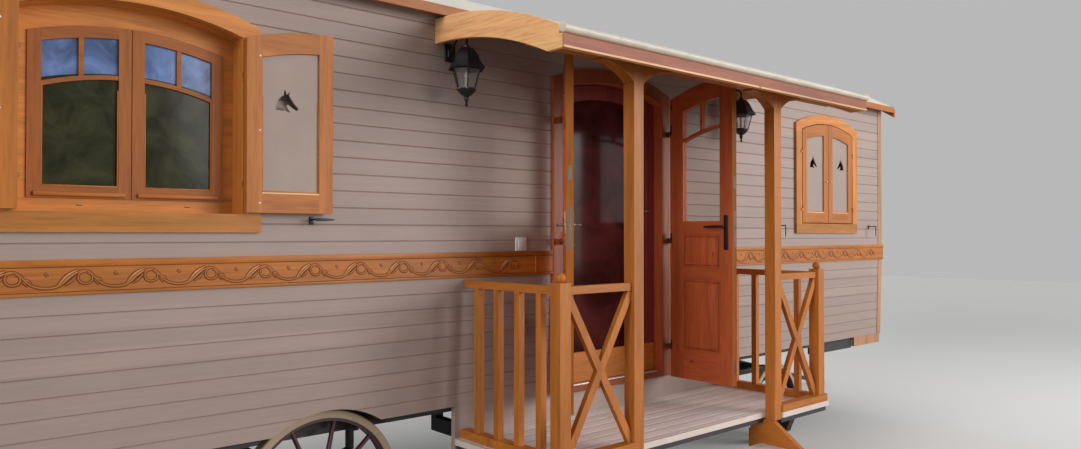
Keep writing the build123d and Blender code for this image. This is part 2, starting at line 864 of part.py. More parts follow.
tie = (tie_x - tie_half, tie_x + tie_half)
drawbar = tow_member((nose - bar_fork, 0), (nose - bar_taper, half_bar), (nose, half_bar),
                     (nose, -half_bar), (nose - bar_taper, -half_bar))
drawbar += tow_member((tie[0], arm_inside(tie[0])), (tie[1], arm_inside(tie[1])),
                      (tie[1], -arm_inside(tie[1])), (tie[0], -arm_inside(tie[0])))
for side in (-1, 1):
    drawbar += tow_member((-lug_back, side * (arm_y - half_bar)),
                          (-lug_back, side * (arm_y + half_bar)),
                          (lug_length, side * (arm_y + half_bar)),
                          (lug_length, side * (arm_y - half_bar)))
    drawbar += tow_member((lug_length, side * (arm_y - half_bar)),
                          (lug_length, side * (arm_y + half_bar)),
                          (nose - bar_taper, side * half_bar), (nose - bar_fork, 0))
with BuildPart() as eye:
    with BuildSketch(tow_plane.offset(-eye_thickness / 2)):
        with Locations((drawbar_length, 0)):
            Circle(eye_radius)
        with Locations(((nose + drawbar_length) / 2, 0)):
            Rectangle(eye_radius, drawbar_bar - eye_neck)
    extrude(amount=eye_thickness)
    with BuildSketch(tow_plane.offset(-eye_thickness)):
        with Locations((drawbar_length, 0)):
            Circle(eye_bore)
    extrude(amount=2 * eye_thickness, mode=Mode.SUBTRACT)
drawbar += eye.part.solids()
with BuildPart() as tow_pins:
    with Locations(Location(tow_pin, (90, 0, 0))):
        Cylinder(drawbar_pin_radius, 2 * (drawbar_spread + bearer_half - drawbar_pin_inset))
drawbar += tow_pins.part.solids()
finish(Compound(drawbar), "drawbar")

# Spoked wheels: a maroon nave, spokes and felloe inside a broad cream rim
wheels = [("wheel_rear_left", rear_axle_x, -1, rear_radius, rear_rim, rear_spokes,
           rear_wheel_inset),
          ("wheel_rear_right", rear_axle_x, 1, rear_radius, rear_rim, rear_spokes,
           rear_wheel_inset),
          ("wheel_front_left", front_axle_x, -1, front_radius, front_rim, front_spokes,
           front_wheel_inset),
          ("wheel_front_right", front_axle_x, 1, front_radius, front_rim, front_spokes,
           front_wheel_inset)]
for name, x, side, radius, rim, spokes, inset in wheels:
    middle = side * (half_width - inset - wheel_width / 2)
    centre = Vector(x, middle, radius) + shift
    wheel_plane = Plane(origin=centre, x_dir=(1, 0, 0), z_dir=(0, side, 0))
    felloe = radius - rim
    with BuildPart() as wheel:
        with BuildSketch(wheel_plane.offset(felloe_setback - wheel_width / 2)):
            Circle(felloe)
            Circle(felloe - felloe_width, mode=Mode.SUBTRACT)
        extrude(amount=wheel_width - 2 * felloe_setback)
        with BuildSketch(Plane(origin=centre, x_dir=(1, 0, 0), z_dir=(0, 0, 1))):
            with BuildLine():
                Polyline((0, -hub_length / 2), (hub_radius - hub_necks[0], -hub_length / 2),
                         (hub_radius, -hub_belly), (hub_radius, hub_belly),
                         (hub_radius - hub_necks[1], hub_length / 2), (0, hub_length / 2),
                         close=True)
            make_face()
        revolve(axis=Axis(centre, (0, 1, 0)))
        for i in range(spokes):
            angle = radians(spoke_turn + 360 / spokes * i)
            direction = Vector(cos(angle), 0, sin(angle))
            spoke_foot = hub_radius - spoke_root[0]
            spoke_plane = Plane(origin=centre + direction * spoke_foot, x_dir=(0, 1, 0),
                                z_dir=direction)
            with BuildSketch(spoke_plane):
                Ellipse(*spoke_root)
            with BuildSketch(spoke_plane.offset(felloe - felloe_width / 2 - spoke_foot)):
                Ellipse(*spoke_tip)
            loft()
        with Locations(Location(centre, (90, 0, 0))):
            Cylinder(spindle_radius + pin_clearance, hub_length + 20, mode=Mode.SUBTRACT)
    finish(wheel.part, name)
    with BuildPart() as rim_ring:
        with BuildSketch(wheel_plane.offset(-wheel_width / 2)):
            Circle(radius)
            Circle(felloe, mode=Mode.SUBTRACT)
        extrude(amount=wheel_width)
        chamfer(rim_ring.edges().filter_by(GeomType.CIRCLE).group_by(SortBy.RADIUS)[-1],
                wheel_chamfer)
    finish(rim_ring.part, f"{name}_rim")

# Door frame, filling the wall's depth, with the outer leaves' pins and the inner door's
frame_in = core_in - foot_inset
pin_x = door_half - pin_offset
pin_d = door_frame_proud + leaf_gap + leaf_thickness + leaf_pin_gap
inner_half = door_inner_half - inner_door_gap
hinge_x = -inner_half - small_pin
hinge_d = frame_in - small_knuckle - 2
with BuildPart() as door_frame:
    slab(door_side, frame_in, door_frame_proud, under_arch, -door_half, door_half, floor_foot,
         door_arch)
    slab(door_side, frame_in - 1, door_frame_proud + 1, under_arch, -door_inner_half,
         door_inner_half, threshold, door_inner_arch, mode=Mode.SUBTRACT)
    for z in door_hinge_heights:
        low = (z - knuckle_height, z - 1)
        for side in (-1, 1):
            x = side * pin_x
            block((x - side * pin_radius / 2, x + side * pin_bracket),
                  outwards(door_frame_proud, pin_d), low)
            foot = Vector(x, -half_width - pin_d, z - (knuckle_height + 1) / 2) + shift
            with Locations(foot):
                Cylinder(pin_radius + 1, knuckle_height - 1)
            with Locations(foot + Vector(0, 0, knuckle_height)):
                Cylinder(pin_radius, knuckle_height + 8)
        block((hinge_x - inner_bracket[0], hinge_x + inner_bracket[1]),
              outwards(hinge_d - inner_bracket_depth, frame_in), (z - 1 - inner_bracket_height, z - 1))
        with Locations(Vector(hinge_x, -half_width - hinge_d, z + knuckle_height / 2 - 4) + shift):
            Cylinder(small_pin, knuckle_height + 8)
finish(door_frame.part, "door_frame")


def leaf_plane(pin, side, opened):
    """The plane of a leaf: x along it from its pin, y up. side is +1 for a right-hand leaf."""
    angle = radians(opened)
    direction = Vector(-side * cos(angle), -sin(angle), 0)
    return Plane(origin=pin, x_dir=direction, z_dir=direction.cross(Vector(0, 0, 1)))


def panelled_leaf(plane, into, reach, top_at):
    """A door leaf with a glazed head and two fielded panels. into points from its outer
    face to its inner one."""
    near = leaf_pin_gap * into
    deep = (leaf_pin_gap + leaf_thickness) * into
    slab(plane, near, deep, under_arch, leaf_edge, reach, leaf_foot, top_at(leaf_top_inset))
    left = leaf_edge + hinge_stile
    right = reach - free_stile
    slab(plane, near - into, deep + into, under_arch, left, right, glass_foot,
         top_at(glass_top_inset), mode=Mode.SUBTRACT)
    middle = (near + deep) / 2
    for face in (near, deep):
        sign = 1 if face > middle else -1
        inner = middle + sign * pane_thickness / 2
        slab(plane, inner, face - sign * bar_setback, between_arches, left, right,
             top_at(transom_inset + bar_width), top_at(transom_inset))
        centre = (left + right) / 2
        slab(plane, inner, face - sign * bar_setback, under_arch, centre - bar_width / 2,
             centre + bar_width / 2, top_at(transom_inset + bar_width / 2)(centre),
             top_at(glass_top_inset - 2))
        for low, high in (small_panel_z, large_panel_z):
            with BuildSketch(plane.offset(face - sign * panel_recess)) as recess:
                with Locations((centre, (low + high) / 2)):
                    Rectangle(right - left, high - low)
            extrude(recess.sketch, amount=sign * (panel_recess + 1), mode=Mode.SUBTRACT)
            with BuildSketch(plane.offset(face - sign * (panel_recess + 1))) as field:
                with Locations((centre, (low + high) / 2)):
                    Rectangle(right - left - panel_border, high - low - panel_border)
            extrude(field.sketch, amount=sign * (panel_recess + 1 - field_setback),
                    taper=field_taper)


def knuckles(pin, plane, into, heights):
    """The rings of a leaf's hinges, with the straps that hold them to its edge."""
    for z in heights:
        centre = Vector(pin.X, pin.Y, z + knuckle_height / 2)
        with Locations(centre):
            Cylinder(knuckle_radius, knuckle_height)
        with BuildSketch(plane) as strap:
            with Locations((leaf_edge + strap_half, z + knuckle_height / 2)):
                Rectangle(2 * strap_half, knuckle_height)
        extrude(strap.sketch, amount=into * strap_thickness)
        with Locations(centre):
            Cylinder(pin_radius + pin_clearance, knuckle_height + 20, mode=Mode.SUBTRACT)


leaf_reach = pin_x - leaf_meeting_gap / 2
for name, side, opened in (("door_leaf_left", -1, left_leaf_open),
                           ("door_leaf_right", 1, right_leaf_open)):
    pin = Vector(side * pin_x, -half_width - pin_d, 0) + shift
    plane = leaf_plane(pin, side, opened)
    into = side

    def top_at(inset):
        return lambda u: arch(door_radius, door_peak, inset)(pin_x - u)

    with BuildPart() as leaf:
        panelled_leaf(plane, into, leaf_reach, top_at)
        knuckles(pin, plane, into, door_hinge_heights)
    finish(leaf.part, name)
    with BuildPart() as pane:
        middle = into * (leaf_pin_gap + leaf_thickness / 2)
        slab(plane, middle - pane_thickness / 2, middle + pane_thickness / 2, under_arch,
             leaf_edge + hinge_stile, leaf_reach - free_stile, glass_foot,
             top_at(glass_top_inset))
    finish(pane.part, f"{name}_glass")

# Glazed inner door, hung on the left and opening inwards
with BuildPart() as inner_door:
    inner_back = frame_in + inner_door_setback
    inner_foot = threshold + inner_door_gap

    def inner_top(inset):
        return arch(door_radius, door_peak, door_head + inset)

    slab(door_side, inner_back, inner_back + inner_door_thickness, under_arch, -inner_half,
         inner_half, inner_foot, inner_top(inner_door_gap))
    pane_half = inner_half - inner_door_stile
    slab(door_side, inner_back - 1, inner_back + inner_door_thickness + 1, under_arch, -pane_half,
         pane_half, inner_foot + inner_door_foot_rail, inner_top(inner_door_head),
         mode=Mode.SUBTRACT)
    for z in door_hinge_heights:
        centre = Vector(hinge_x, -half_width - hinge_d, z + knuckle_height / 2) + shift
        with Locations(centre):
            Cylinder(small_knuckle, knuckle_height)
        block((hinge_x, hinge_x + inner_strap), outwards(hinge_d, inner_back + 1),
              (z, z + knuckle_height))
        with Locations(centre):
            Cylinder(small_pin + pin_clearance, knuckle_height + 20, mode=Mode.SUBTRACT)
finish(inner_door.part, "inner_door")

with BuildPart() as inner_door_glass:
    middle = inner_back + inner_door_thickness / 2
    slab(door_side, middle - pane_thickness / 2, middle + pane_thickness / 2, under_arch,
         -pane_half, pane_half, inner_foot + inner_door_foot_rail, inner_top(inner_door_head))
finish(inner_door_glass.part, "inner_door_glass")

# Windows: a casing through the wall, a pair of sashes with a transom, and the panes
window_back = core_in - window_lining
dormant_out = window_back + dormant_depth
sash_half = window_inner_half - dormant_width
sash_foot = window_foot + window_sill + dormant_foot


def sash_top(inset):
    return arch(window_radius, window_peak, casing_head + dormant_head + inset)


with BuildPart() as window_frames:
    for index in range(window_count):
        plane = window_plane(index)
        slab(plane, window_back, window_proud, under_arch, -window_half, window_half, window_foot,
             window_arch)
        slab(plane, dormant_out, window_proud + 1, under_arch, -window_inner_half,
             window_inner_half, window_foot + window_sill, window_inner_arch, mode=Mode.SUBTRACT)
        slab(plane, window_back - 1, dormant_out + 1, under_arch, -sash_half, sash_half,
             sash_foot, sash_top(0), mode=Mode.SUBTRACT)
    for name, index, hand, opened in shutters:
        pin_at = windows[index][0] + hand * (window_inner_half - shutter_pin_in)
        pin_out = window_proud + shutter_pin_out
        for z in shutter_hinge_heights:
            block((pin_at - hand * small_pin, pin_at + hand * shutter_bracket),
                  outwards(window_proud, pin_out + small_pin), (z - 1 - shutter_bracket_height, z - 1))
            with Locations(Vector(pin_at, -half_width - pin_out,
                                  z + shutter_knuckle_height / 2) + shift):
                Cylinder(small_pin, shutter_knuckle_height + 2)
finish(window_frames.part, "window_frames")

with BuildPart() as window_sashes:
    for index in range(window_count):
        plane = window_plane(index)
        low = window_back + 4
        for hand in (-1, 1):
            near = sash_meeting_gap / 2 if hand > 0 else -sash_half + sash_gap
            far = sash_half - sash_gap if hand > 0 else -sash_meeting_gap / 2
            slab(plane, low, low + sash_thickness, under_arch, near, far, sash_foot + sash_gap,
                 sash_top(sash_gap))
            slab(plane, low - 1, low + sash_thickness + 1, under_arch, near + sash_stile,
                 far - sash_stile, sash_foot + sash_stile, sash_top(sash_stile), mode=Mode.SUBTRACT)
            middle = low + sash_thickness / 2
            centre = (near + far) / 2
            for start, stop in ((low + 3, middle - 2), (middle + 2, low + sash_thickness - 3)):
                slab(plane, start, stop, between_arches, near + sash_stile, far - sash_stile,
                     sash_top(sash_transom + bar_width), sash_top(sash_transom))
                slab(plane, start, stop, under_arch, centre - bar_width / 2,
                     centre + bar_width / 2, sash_top(sash_transom + bar_width / 2)(centre),
                     sash_top(sash_stile - 2))
finish(window_sashes.part, "window_sashes")

with BuildPart() as window_glass:
    for index in range(window_count):
        plane = window_plane(index)
        middle = window_back + 4 + sash_thickness / 2
        for hand in (-1, 1):
            near = sash_meeting_gap / 2 if hand > 0 else -sash_half + sash_gap
            far = sash_half - sash_gap if hand > 0 else -sash_meeting_gap / 2
            slab(plane, middle - 2, middle + 2, under_arch, near + sash_stile, far - sash_stile,
                 sash_foot + sash_stile, sash_top(sash_stile))
finish(window_glass.part, "window_glass")

# Shutters: a wooden leaf round a painted panel
for name, index, hand, opened in shutters:
    pin_u = window_inner_half - shutter_pin_in
    pin_at = windows[index][0] + hand * pin_u
    pin_out = window_proud + shutter_pin_out
    pin = Vector(pin_at, -half_width - pin_out, 0) + shift
    plane = leaf_plane(pin, hand, opened)
    into = hand
    reach = pin_u - shutter_meeting_gap / 2

    def shutter_top(inset):
        return lambda u: arch(window_radius, window_peak, casing_head + inset)(pin_u - u)

    foot = window_foot + window_sill + shutter_gap
    edge = shutter_edge
    near = shutter_pin_out * into
    deep = (shutter_pin_out + shutter_thickness) * into
    left = edge + shutter_stile
    right = reach - shutter_stile
    with BuildPart() as shutter:
        slab(plane, near, deep, under_arch, edge, reach, foot, shutter_top(shutter_gap))
        slab(plane, near - into, deep + into, under_arch, left, right, foot + shutter_foot_rail,
             shutter_top(shutter_head_rail), mode=Mode.SUBTRACT)
        for z in shutter_hinge_heights:
            middle = z + shutter_knuckle_height / 2
            centre = Vector(pin.X, pin.Y, middle)
            with Locations(centre):
                Cylinder(small_knuckle, shutter_knuckle_height)
            with BuildSketch(plane):
                with Locations((edge + 7, middle)):
                    Rectangle(2 * edge + 14, shutter_knuckle_height)
            extrude(amount=into * (shutter_pin_out + 1))
            with Locations(centre):
                Cylinder(small_pin + pin_clearance, 2 * shutter_knuckle_height,
                         mode=Mode.SUBTRACT)
    finish(shutter.part, f"shutter_{name}")
    with BuildPart() as panel:
        middle = (near + deep) / 2
        slab(plane, middle - shutter_panel_thickness / 2, middle + shutter_panel_thickness / 2,
             under_arch, left, right, foot + shutter_foot_rail, shutter_top(shutter_head_rail))
    finish(panel.part, f"shutter_{name}_panel")

# Porch deck
skirt_face = -foot_inset
half_post = post_size / 2
recess_half = post_x + half_post
board_z = (deck_top - deck_thickness, deck_top)
with BuildPart() as deck_boards:
    start = skirt_face
    while start < deck_front:
        stop = min(start + deck_board, deck_front)
        full = min(stop, recess_front)
        if start < recess_front:
            block((-deck_half, deck_half), outwards(start, full), board_z)
        if stop > recess_front:
            for side in (-1, 1):
                block((side * recess_half, side * deck_half),
                      outwards(max(start, recess_front), stop), board_z)
        start = stop + deck_board_gap
finish(deck_boards.part, "deck_boards")

joist_top = deck_top - deck_thickness
joist_z = (joist_top - joist_height, joist_top)
deck_frame = []
back_rail = (skirt_face, skirt_face + joist_width)
for x in (-outrigger_x, 0, outrigger_x):
    front = recess_front if x == 0 else deck_front
    deck_frame += timber((x - joist_width / 2, x + joist_width / 2),
                         outwards(back_rail[1], front - joist_width), joist_z)
deck_frame += timber((-deck_half, deck_half), outwards(*back_rail), joist_z)
deck_frame += timber((-recess_half, recess_half), outwards(recess_front - joist_width, recess_front),
                     joist_z)
for side in (-1, 1):
    for x in (recess_half, deck_half - joist_width):
        deck_frame += timber((side * x, side * (x + joist_width)),
                             outwards(back_rail[1], deck_front - joist_width), joist_z)
    deck_frame += timber((side * recess_half, side * deck_half),
                         outwards(deck_front - joist_width, deck_front), joist_z)
finish(Compound(deck_frame), "deck_frame")

# Painted skirt between the deck and the wall's foot
edge_x = deck_half + edge_thickness
with BuildPart() as deck_skirt:
    depth = outwards(-foot_inset - floor_inset, skirt_face)
    block((-edge_x, edge_x), depth, (joist_z[0], floor_foot))
    for side in (-1, 1):
        block((side * door_half, side * edge_x), depth, (floor_foot, wall_foot))
finish(deck_skirt.part, "deck_skirt")

edge_z = (deck_top - edge_height, deck_top)
edge_out = deck_front + edge_thickness
deck_edge = timber((-recess_half, recess_half), outwards(recess_front, recess_front + edge_thickness),
                   edge_z)
for side in (-1, 1):
    deck_edge += timber((side * recess_half, side * edge_x), outwards(deck_front, edge_out), edge_z)
    deck_edge += timber((side * deck_half, side * edge_x), outwards(skirt_face, deck_front), edge_z)
finish(Compound(deck_edge), "deck_edge")

# Canopy posts with their brackets and the beam over them
post_y = outwards(post_d - half_post, post_d + half_post)
beam_half = canopy_half - end_board_thickness
canopy_posts = timber((-beam_half, beam_half), post_y,
                      (canopy_beam_foot, canopy_beam_foot + canopy_beam_height))
for side in (-1, 1):
    x = side * post_x
    canopy_posts += timber((x - half_post, x + half_post), post_y, (stair_top, canopy_beam_foot))
    for hand in (-1, 1):
        with BuildPart() as bracket:
            with BuildSketch(door_side.offset(post_d - half_post)):
                with BuildLine():
                    near = x + hand * half_post
                    far = near + hand * bracket_length
                    low = canopy_beam_foot - bracket_height
                    tip = canopy_beam_foot - bracket_tip
                    Polyline((near, low), (near, canopy_beam_foot), (far, canopy_beam_foot),
                             (far, tip))
                    ThreePointArc((far, tip), (near + hand * bracket_length * 0.42,
                                               tip - (tip - low) * 0.28), (near, low))
                make_face()
            extrude(amount=post_size)
        canopy_posts += bracket.part.solids()
finish(Compound(canopy_posts), "canopy_posts")

# Railings: newels, rails, balusters and crossed braces
with BuildPart() as railings:
    half_newel = newel_size / 2
    newel_d = post_d
    sole_top = deck_top + sole_height
    for side in (-1, 1):
        x = side * newel_x
        post_face = side * (post_x + half_post)
        block((x - half_newel, x + half_newel), outwards(newel_d - half_newel,
                                                         newel_d + half_newel),
              (deck_top, newel_top))
        with Locations(Vector(x, -half_width - newel_d, newel_top + ball_radius * 0.85) + shift):
            Sphere(ball_radius)
        block((post_face, side * deck_half), outwards(edge_out - sole_width, edge_out),
              (deck_top, sole_top))
        block((x - sole_width / 2, x + sole_width / 2), outwards(skirt_face, newel_d),
              (deck_top, sole_top))
        rail_z = (rail_top - rail_size, rail_top)
        block((post_face, x), outwards(newel_d - rail_size / 2, newel_d + rail_size / 2), rail_z)
        block((x - rail_size / 2, x + rail_size / 2),
              outwards((rail_top - wall_knee) * lean, newel_d), rail_z)
        for d in baluster_places:
            block((x - baluster / 2, x + baluster / 2),
                  outwards(d - baluster / 2, d + baluster / 2), (deck_top, rail_top - 5))
        bay_in = post_face
        bay_out = x - side * half_newel
        run = bay_out - bay_in
        rise = rail_top - rail_size - sole_top
        slope = sqrt(run**2 + rise**2)
        half_rise = brace_width / 2 * slope / abs(run)
        with BuildSketch(door_side.offset(newel_d - brace_thickness / 2)):
            with BuildLine():
                Polyline((bay_in, sole_top - half_rise), (bay_in, sole_top + half_rise),
                         (bay_out, rail_top - rail_size + half_rise),
                         (bay_out, rail_top - rail_size - half_rise), close=True)
            make_face()
            with BuildLine():
                Polyline((bay_out, sole_top - half_rise), (bay_out, sole_top + half_rise),
                         (bay_in, rail_top - rail_size + half_rise),
                         (bay_in, rail_top - rail_size - half_rise), close=True)
            make_face()
            with Locations(((bay_in + bay_out) / 2, (sole_top + rail_top - rail_size) / 2)):
                Rectangle(abs(run), rise + 4, mode=Mode.INTERSECT)
        extrude(amount=brace_thickness)
finish(railings.part, "railings")


# Canopy
def canopy_section(outer, inner, front):
    """The canopy's curved section out from the wall."""
    wall = -half_width
    places = [0, front / 2, front]
    high = [(wall - d, canopy_centre + sqrt(outer**2 - d**2)) for d in places]
    low = [(wall - d, canopy_centre + sqrt(inner**2 - d**2)) for d in reversed(places)]
    ThreePointArc(*high)
    Line(high[2], low[0])
    ThreePointArc(*low)
    Line(low[2], high[0])


with BuildPart() as canopy_roof:
    along_x(-beam_half, beam_half, canopy_section, canopy_radius,
            canopy_radius - canopy_thickness, canopy_front)
finish(canopy_roof.part, "canopy_roof")

with BuildPart() as canopy_boards:
    for side in (-1, 1):
        along_x(side * beam_half, side * canopy_half, canopy_section, canopy_radius,
                canopy_radius - end_board_height, canopy_front)
    block((-canopy_half, canopy_half), outwards(0, canopy_front),
          (canopy_fascia_foot - end_board_height, canopy_fascia_foot), mode=Mode.SUBTRACT)
    block((-canopy_half, canopy_half), outwards(canopy_front, canopy_front
                                                + canopy_fascia_thickness),
          (canopy_fascia_foot, canopy_fascia_foot + canopy_fascia_height))
finish(canopy_boards.part, "canopy_boards")

with BuildPart() as gutter:
    gutter_d = canopy_front + gutter_radius
    gutter_z = canopy_fascia_foot + canopy_fascia_height + gutter_radius
    with BuildSketch(end_view.offset(-canopy_half)):
        with Locations((-half_width - gutter_d, gutter_z)):
            Circle(gutter_radius)
            Circle(gutter_radius - gutter_wall, mode=Mode.SUBTRACT)
        with Locations((-half_width - gutter_d, gutter_z + gutter_radius)):
            Rectangle(3 * gutter_radius, 2 * gutter_radius, mode=Mode.SUBTRACT)
    extrude(amount=2 * canopy_half)
finish(gutter.part, "gutter")

# Steps
with BuildPart() as stair_stringers:
    reach_z = stair_top - stair_slope * (stair_reach - stair_level)
    ground_d = stair_back + stair_back_foot / stair_slope
    for side in (-1, 1):
        x = side * stair_half
        with BuildSketch(end_view.offset(min(x, x - side * stringer_thickness))):
            with BuildLine():
                Polyline(*[(-half_width - d, z) for d, z in (
                    (stair_back, stair_back_foot), (stair_back, stair_back_top),
                    (recess_front - joist_width, joist_z[0]), (recess_front, joist_z[0]),
                    (recess_front, stair_top), (stair_level, stair_top), (stair_reach, reach_z),
                    (stair_reach, 0), (ground_d, 0))], close=True)
            make_face()
        extrude(amount=stringer_thickness)
finish(stair_stringers.part, "stair_stringers")

with BuildPart() as stair_treads:
    inner = stair_half - stringer_thickness
    for i in (1, 2):
        top = deck_top - i * riser
        back = tread_back + (i - 1) * tread_going
        block((-inner, inner), outwards(back, back + tread_depth), (top - tread_thickness, top))
finish(stair_treads.part, "stair_treads")

# Lanterns on the wall
with BuildPart() as lamps:
    for x in lamp_places:
        middle = Vector(x, -half_width - lamp_reach, 0) + shift
        base = Plane(origin=middle)
        tip = lamp_glass_top + lamp_roof_height
        cup = lamp_glass_foot - lamp_cup_height
        for low, low_radius, high, high_radius in (
                (lamp_glass_top, lamp_roof_radius, lamp_glass_top + lamp_flare_height,
                 lamp_flare_radius),
                (lamp_glass_top + lamp_flare_height, lamp_flare_radius, tip, lamp_tip_radius),
                (cup, lamp_tip_radius, lamp_glass_foot, lamp_glass_radii[0])):
            with BuildSketch(base.offset(low)):
                RegularPolygon(low_radius, 6)
            with BuildSketch(base.offset(high)):
                RegularPolygon(high_radius, 6)
            loft()
        with Locations(middle + Vector(0, 0, cup - lamp_stem_length / 2)):
            Cylinder(lamp_stem_radius, lamp_stem_length)
        with Locations(middle + Vector(0, 0, tip + lamp_finial_length / 2)):
            Cylinder(lamp_finial_radius, lamp_finial_length)
        half_arm = lamp_arm / 2
        arm_foot = lamp_glass_top + lamp_arm_height
        plate_foot = lamp_glass_top - lamp_plate_drop
        block((x - half_arm, x + half_arm), outwards(half_arm, lamp_reach + half_arm),
              (arm_foot, arm_foot + lamp_arm))
        block((x - lamp_plate_half, x + lamp_plate_half), outwards(0, lamp_plate_thickness),
              (plate_foot, plate_foot + lamp_plate_height))
finish(lamps.part, "lamps")

with BuildPart() as lamp_glass:
    for x in lamp_places:
        base = Plane(origin=Vector(x, -half_width - lamp_reach, 0) + shift)
        with BuildSketch(base.offset(lamp_glass_foot)):
            RegularPolygon(lamp_glass_radii[0] - lamp_seat, 6)
        with BuildSketch(base.offset(lamp_glass_top)):
            RegularPolygon(lamp_glass_radii[1], 6)
        loft()
finish(lamp_glass.part, "lamp_glass")
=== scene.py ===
import bpy
from math import cos, pi, radians, sin, sqrt
from mathutils import Matrix, Vector


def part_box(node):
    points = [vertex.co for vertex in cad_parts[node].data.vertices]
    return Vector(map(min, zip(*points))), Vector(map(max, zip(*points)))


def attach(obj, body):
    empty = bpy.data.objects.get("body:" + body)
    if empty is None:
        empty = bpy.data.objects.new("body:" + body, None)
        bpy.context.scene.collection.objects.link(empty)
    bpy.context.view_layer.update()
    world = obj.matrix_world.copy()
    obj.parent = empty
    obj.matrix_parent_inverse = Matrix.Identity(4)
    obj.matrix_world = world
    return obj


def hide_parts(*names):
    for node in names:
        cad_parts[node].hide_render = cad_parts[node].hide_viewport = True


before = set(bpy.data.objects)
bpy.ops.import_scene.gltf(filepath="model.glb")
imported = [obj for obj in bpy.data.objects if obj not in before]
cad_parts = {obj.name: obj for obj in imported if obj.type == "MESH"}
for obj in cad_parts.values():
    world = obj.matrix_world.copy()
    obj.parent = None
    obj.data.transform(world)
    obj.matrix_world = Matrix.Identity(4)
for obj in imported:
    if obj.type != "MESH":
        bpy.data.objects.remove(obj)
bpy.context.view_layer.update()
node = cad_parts

# Metres. Places are given as x from the doorway's middle, out from the porch wall, and height.
wagon = {"doorX": -0.481301, "wallY": -0.611, "farWallY": 1.889, "halfLength": 3.93}
alongX, alongY, upright = Vector((1, 0, 0)), Vector((0, 1, 0)), Vector((0, 0, 1))


def at(x, out, z):
    return Vector((x + wagon["doorX"], wagon["wallY"] - out, z))


def shift(x, y, z):
    return Matrix.Translation((x, y, z))


def spun(angle, axis="X"):
    return Matrix.Rotation(radians(angle), 4, axis)


def turned(facing):
    # half a turn for what looks the other way
    return spun(0 if facing > 0 else 180)


def frameOf(origin, along, up, facing):
    # a place whose u, v and w run along three directions
    return shift(*origin) @ Matrix((along, up, facing)).transposed().to_4x4()


def addObject(name, data):
    made = bpy.data.objects.new(name, data)
    bpy.context.collection.objects.link(made)
    return made


# Camera, solved from the boards' joints and the eaves
view = {"place": (-3.998, 3.80, 1.82), "yaw": 41.18, "pitch": 0.68, "lens": 26.45, "film": 36,
        "reach": 200}
bpy.ops.object.camera_add(location=at(*view["place"]),
                          rotation=(radians(90 + view["pitch"]), 0, radians(-view["yaw"])))
camera = bpy.context.object
camera.data.sensor_fit = "HORIZONTAL"
camera.data.sensor_width = view["film"]
camera.data.lens = view["lens"]
camera.data.clip_end = view["reach"]
bpy.context.scene.camera = camera

# Studio: pale floor, soft lamps, even world. A lamp's size is the edge of a soft box in metres,
# or the spread of a far lamp in degrees.
studio = {
    "floorSize": 60, "floorSeen": (0.80, 0.80, 0.79), "floorLit": (0.34, 0.33, 0.32),
    "world": 0.48, "hood": 100,
    "lamps": {
        "keyLamp": ("SUN", 1.1, 28, (7, -11, 3.7), (0.5, 0, 1.6)),
        "sideLamp": ("AREA", 235, 7, (7.5, -10, 4.4), (2.2, 0, 1.6)),
        "fillLamp": ("SUN", 1.15, 24, (-10, -2.4, 4.4), (-1.5, -1.1, 2.4)),
        "backLamp": ("AREA", 75, 7, (2, 10, 8), (0, 0, 1.5))}}
bpy.ops.mesh.primitive_plane_add(size=studio["floorSize"], location=(0, 0, 0))
floor = bpy.context.object
floor.name = "studioFloor"
for name, (kind, power, size, place, target) in studio["lamps"].items():
    data = bpy.data.lights.new(name, kind)
    data.energy = power
    if kind == "SUN":
        data.angle = radians(size)
    else:
        data.size = size
        data.spread = radians(studio["hood"])      # so that the floor below it stays even
    lamp = addObject(name, data)
    lamp.location = place
    lamp.rotation_euler = (Vector(target) - Vector(place)).to_track_quat("-Z", "Y").to_euler()
world = bpy.data.worlds.new("studioWorld")
bpy.context.scene.world = world
world.use_nodes = True
background = world.node_tree.nodes["Background"]
background.inputs["Color"].default_value = (1, 1, 1, 1)
background.inputs["Strength"].default_value = studio["world"]
bpy.context.scene.view_settings.view_transform = "Standard"
print("camera and studio ready")

# Modelling
meshing = {"merge": 0.00002, "flat": 0.8}


def titleOf(name):
    return "".join(word.title() for word in name.split("_"))


def clearSelection():
    if bpy.context.mode != "OBJECT":
        bpy.ops.object.mode_set(mode="OBJECT")
    bpy.ops.object.select_all(action="DESELECT")


def useOnly(piece):
    clearSelection()
    bpy.context.view_layer.objects.active = piece
    piece.select_set(True)


def editAll(piece):
    # edit mode with all of the piece selected
    useOnly(piece)
    bpy.ops.object.mode_set(mode="EDIT")
    bpy.ops.mesh.select_all(action="SELECT")


def settle(piece):
    # the piece's place goes into its mesh
    useOnly(piece)
    bpy.ops.object.transform_apply()
    return piece


def putOn(piece, place):
    # moves a mesh made at the origin onto the piece that carries it
    piece.data.transform(place)
    if place.determinant() < 0:
        piece.data.flip_normals()
    return piece


def applyModifiers(piece):
    useOnly(piece)
    for modifier in list(piece.modifiers):
        bpy.ops.object.modifier_apply(modifier=modifier.name)
    return piece


def softenEdges(piece, width, segments=2, angle=35):
    edge = piece.modifiers.new("softEdge", "BEVEL")
    edge.width = width
    edge.segments = segments
    edge.limit_method = "ANGLE"
    edge.angle_limit = radians(angle)
    return applyModifiers(piece)


def addBlock(low, high, edge=0.0, segments=2):
    # a block between two corners, with its edges rounded over
    clearSelection()
    low, high = Vector(low), Vector(high)
    bpy.ops.mesh.primitive_cube_add(size=1, location=(low + high) / 2)
    block = bpy.context.object
    block.scale = [abs(length) for length in high - low]
    settle(block)
    return softenEdges(block, edge, segments) if edge else block


def wallBlock(x, out, z, edge, segments=2):
    return addBlock(*[at(*corner) for corner in zip(x, out, z)], edge, segments)


